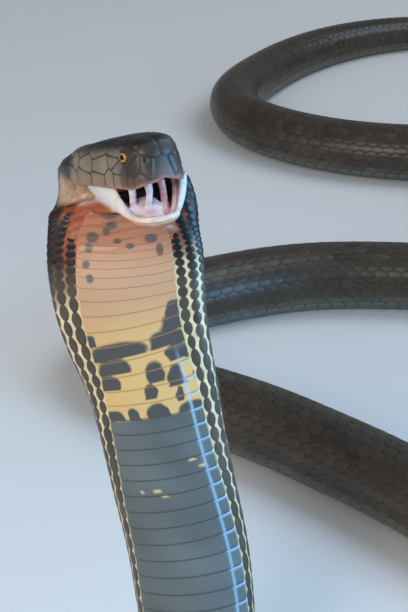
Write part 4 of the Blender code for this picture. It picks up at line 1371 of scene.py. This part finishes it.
def mouth_pieces():
    """Each soft part of the mouth: its line, half width, flatness and colour."""
    tongue = [jaw_point(0.6, 0.0, -0.80), jaw_point(1.5, 0.0, -0.42), jaw_point(2.6, 0.05, -0.10),
              jaw_point(3.8, 0.10, 0.0)]
    near_pillar = [head_point(3.3, -1.15, 0.5), head_point(3.0, -1.15, -0.6), jaw_point(2.5, -1.00, 0.10),
                   jaw_point(1.7, -0.60, -0.55)]
    middle_pillar = [head_point(2.4, -0.35, 0.7), head_point(2.2, -0.25, -0.7), jaw_point(2.0, -0.10, 0.10),
                     jaw_point(1.4, 0.10, -0.60)]
    far_pillar = [head_point(3.4, 1.15, 0.5), head_point(3.2, 1.25, -0.8), jaw_point(2.8, 1.35, 0.10),
                  jaw_point(1.6, 1.05, -0.70)]
    return [
        (gum_path(0.22, -0.42, 0.50, 5.2), 0.30, 0.9, FLESH_PALE),
        (gum_path(0.48, -0.60, 0.20, 5.0), 0.26, 0.9, FLESH_ROSE),
        (bent_line(tongue, 26), 0.95, 0.45, FLESH_PALE), (bent_line(near_pillar, 30), 0.34, 0.60, FLESH_PALE),
        (bent_line(middle_pillar, 30), 0.32, 0.70, FLESH_PALE),
        (bent_line(far_pillar, 30), 0.32, 0.60, FLESH_ROSE),
    ]


def mouth_lining(material):
    """The gum ridges, the mass on the floor and the folds of the mouth, as one soft wet piece."""
    points = []
    faces = []
    colours = []
    for line, width, flat, tint in mouth_pieces():
        tube_points, tube_faces = soft_tube(line, rounded_radii(width, len(line)), flat, MOUTH_SECTORS)
        middle = np.repeat(line, MOUTH_SECTORS, axis=0)
        bead = 1 + 0.04 * noise(tube_points, 0.45, 91) + 0.02 * noise(tube_points, 0.12, 92)
        start = sum(len(block) for block in points)
        points.append(middle + (tube_points - middle) * bead[:, None])
        faces += [[start + i for i in face] for face in tube_faces]
        flecks = np.clip(0.10 - 0.25 * noise(tube_points, 0.30, 91), 0.0, 0.5)
        colours.append(mix(filled(tint, len(tube_points)), linear(FLESH_RED), flecks))
    thing = mesh_object("mouth_lining", np.concatenate(points), faces, material)
    paint_points(thing, np.concatenate(colours))
    blend_pieces(thing)
    thing.data.shade_smooth()
    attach(thing, "root")
    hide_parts("mouth_floor")


def blend_pieces(thing):
    """Melts the separate closed parts of a mesh into one soft surface that keeps their colours."""
    points, _ = mesh_points(thing)
    tints = np.empty(len(points) * 4, dtype=np.float32)
    thing.data.color_attributes["Tint"].data.foreach_get("color", tints)
    tints = tints.reshape(-1, 4)[:, :3]
    finish = thing.data.materials[0]
    melt(thing, MOUTH_VOXEL, MOUTH_SMOOTHING)
    thing.data.materials.clear()
    thing.data.materials.append(finish)
    finder = mathutils.kdtree.KDTree(len(points))
    for i, at in enumerate(points):
        finder.insert(at, i)
    finder.balance()
    melted, _ = mesh_points(thing)
    near = np.array([[hit[1] for hit in finder.find_n(p, 6)] for p in melted])
    paint_points(thing, tints[near].mean(axis=1))


def eye_material():
    """The wet surface of an eye, with no grain."""
    material = tinted_material("eye", 0.06)
    shader = material.node_tree.nodes["Principled BSDF"]
    shader.inputs["Coat Weight"].default_value = 0.25
    shader.inputs["Coat Roughness"].default_value = 0.03
    shader.inputs["Specular IOR Level"].default_value = 0.2
    for link in list(shader.inputs["Normal"].links):
        material.node_tree.links.remove(link)
    return material


def eye(name, far, material):
    """A ball whose rings run round the direction that it looks in, coloured from the pupil outwards."""
    centre, axis = eye_axis(far)
    right = unit(np.cross(axis, HEAD_AXES[2]))
    over = np.cross(right, axis)
    sectors = EYE_SECTORS
    polar = np.linspace(0.0, math.pi, EYE_RINGS)
    turn = np.arange(sectors) * 2 * math.pi / sectors
    out = np.cos(polar)[:, None] * axis
    sweep = (np.cos(turn)[:, None] * right + np.sin(turn)[:, None] * over)
    points = centre + EYE_RADIUS * (out[1:-1, None, :] + np.sin(polar)[1:-1, None, None] * sweep)
    front, rear = centre + EYE_RADIUS * axis, centre - EYE_RADIUS * axis
    points = np.concatenate([[front], points.reshape(-1, 3), [rear]])
    faces = [(0, 1 + (k + 1) % sectors, 1 + k) for k in range(sectors)]
    faces += [[1 + i for i in reversed(face)] for face in grid_quads(EYE_RINGS - 2, sectors, closed=True)]
    last = len(points) - 1
    start = 1 + (EYE_RINGS - 3) * sectors
    faces += [(last, start + k, start + (k + 1) % sectors) for k in range(sectors)]
    thing = mesh_object(name, points, faces, material)
    reach = np.concatenate([[0.0], np.repeat(np.degrees(polar[1:-1]), sectors), [180.0]])
    spin = np.concatenate([[0.0], np.tile(turn, EYE_RINGS - 2), [0.0]])
    rays = 0.5 + 0.5 * np.sin(spin * 23 + 3 * np.sin(spin * 5))
    iris = mix(filled(IRIS, len(points)), linear(IRIS_RAY), 0.6 * rays)
    iris = mix(iris, linear(IRIS_RIM), smoothstep(reach, 38.0, 52.0))
    colour = mix(iris, linear(PUPIL_BLACK), smoothstep(reach, PUPIL + 1.5, PUPIL - 1.5))
    colour = mix(colour, linear(EYE_EDGE), smoothstep(reach, 50.0, 56.0))
    paint_points(thing, colour)
    thing.data.shade_smooth()
    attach(thing, "root")
    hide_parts(name)


def main():
    studio()
    front = front_skin()
    shape_front(front)
    covered = skin_tree(front)
    fuse(front, [tube("body", body_rings(BODY_SKIN_FROM, BODY_LENGTH, BODY_RING_STEP, BODY_COLUMNS))])
    front.data.materials.clear()
    front.data.materials.append(tinted_material("skin", 0.42))
    colour_skin(front)
    front.data.shade_smooth()
    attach(front, "root")
    edges = scute_edges(SCALES_FROM)
    belly = scute_edges(SCUTES_FROM)
    scale_finish = tinted_material("scales", 0.34)
    scute_finish = tinted_material("scutes", 0.36)
    hood = belly[belly < HOOD_SCUTES_TO]
    neck = belly[(belly >= hood[-1]) & (belly < NECK_SCUTES_TO)]
    floor = belly[belly >= neck[-1]]
    scute_coat("scutes_hood", hood, HOOD_COLUMNS, FINE_ROWS, scute_finish, covered)
    scute_coat("scutes_neck", neck, NECK_COLUMNS, FINE_ROWS, scute_finish, None)
    scute_coat("scutes_floor", floor, FLOOR_COLUMNS, COARSE_ROWS, scute_finish, None)
    for zone in SCALE_ZONES:
        scale_coat(zone, edges, covered, scale_finish)
    flesh = [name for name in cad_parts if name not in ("eye_near", "eye_far", "mouth_floor")]
    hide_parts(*flesh)
    mouth_lining(tinted_material("mouth", 0.18))
    glossy = eye_material()
    eye("eye_near", False, glossy)
    eye("eye_far", True, glossy)


main()
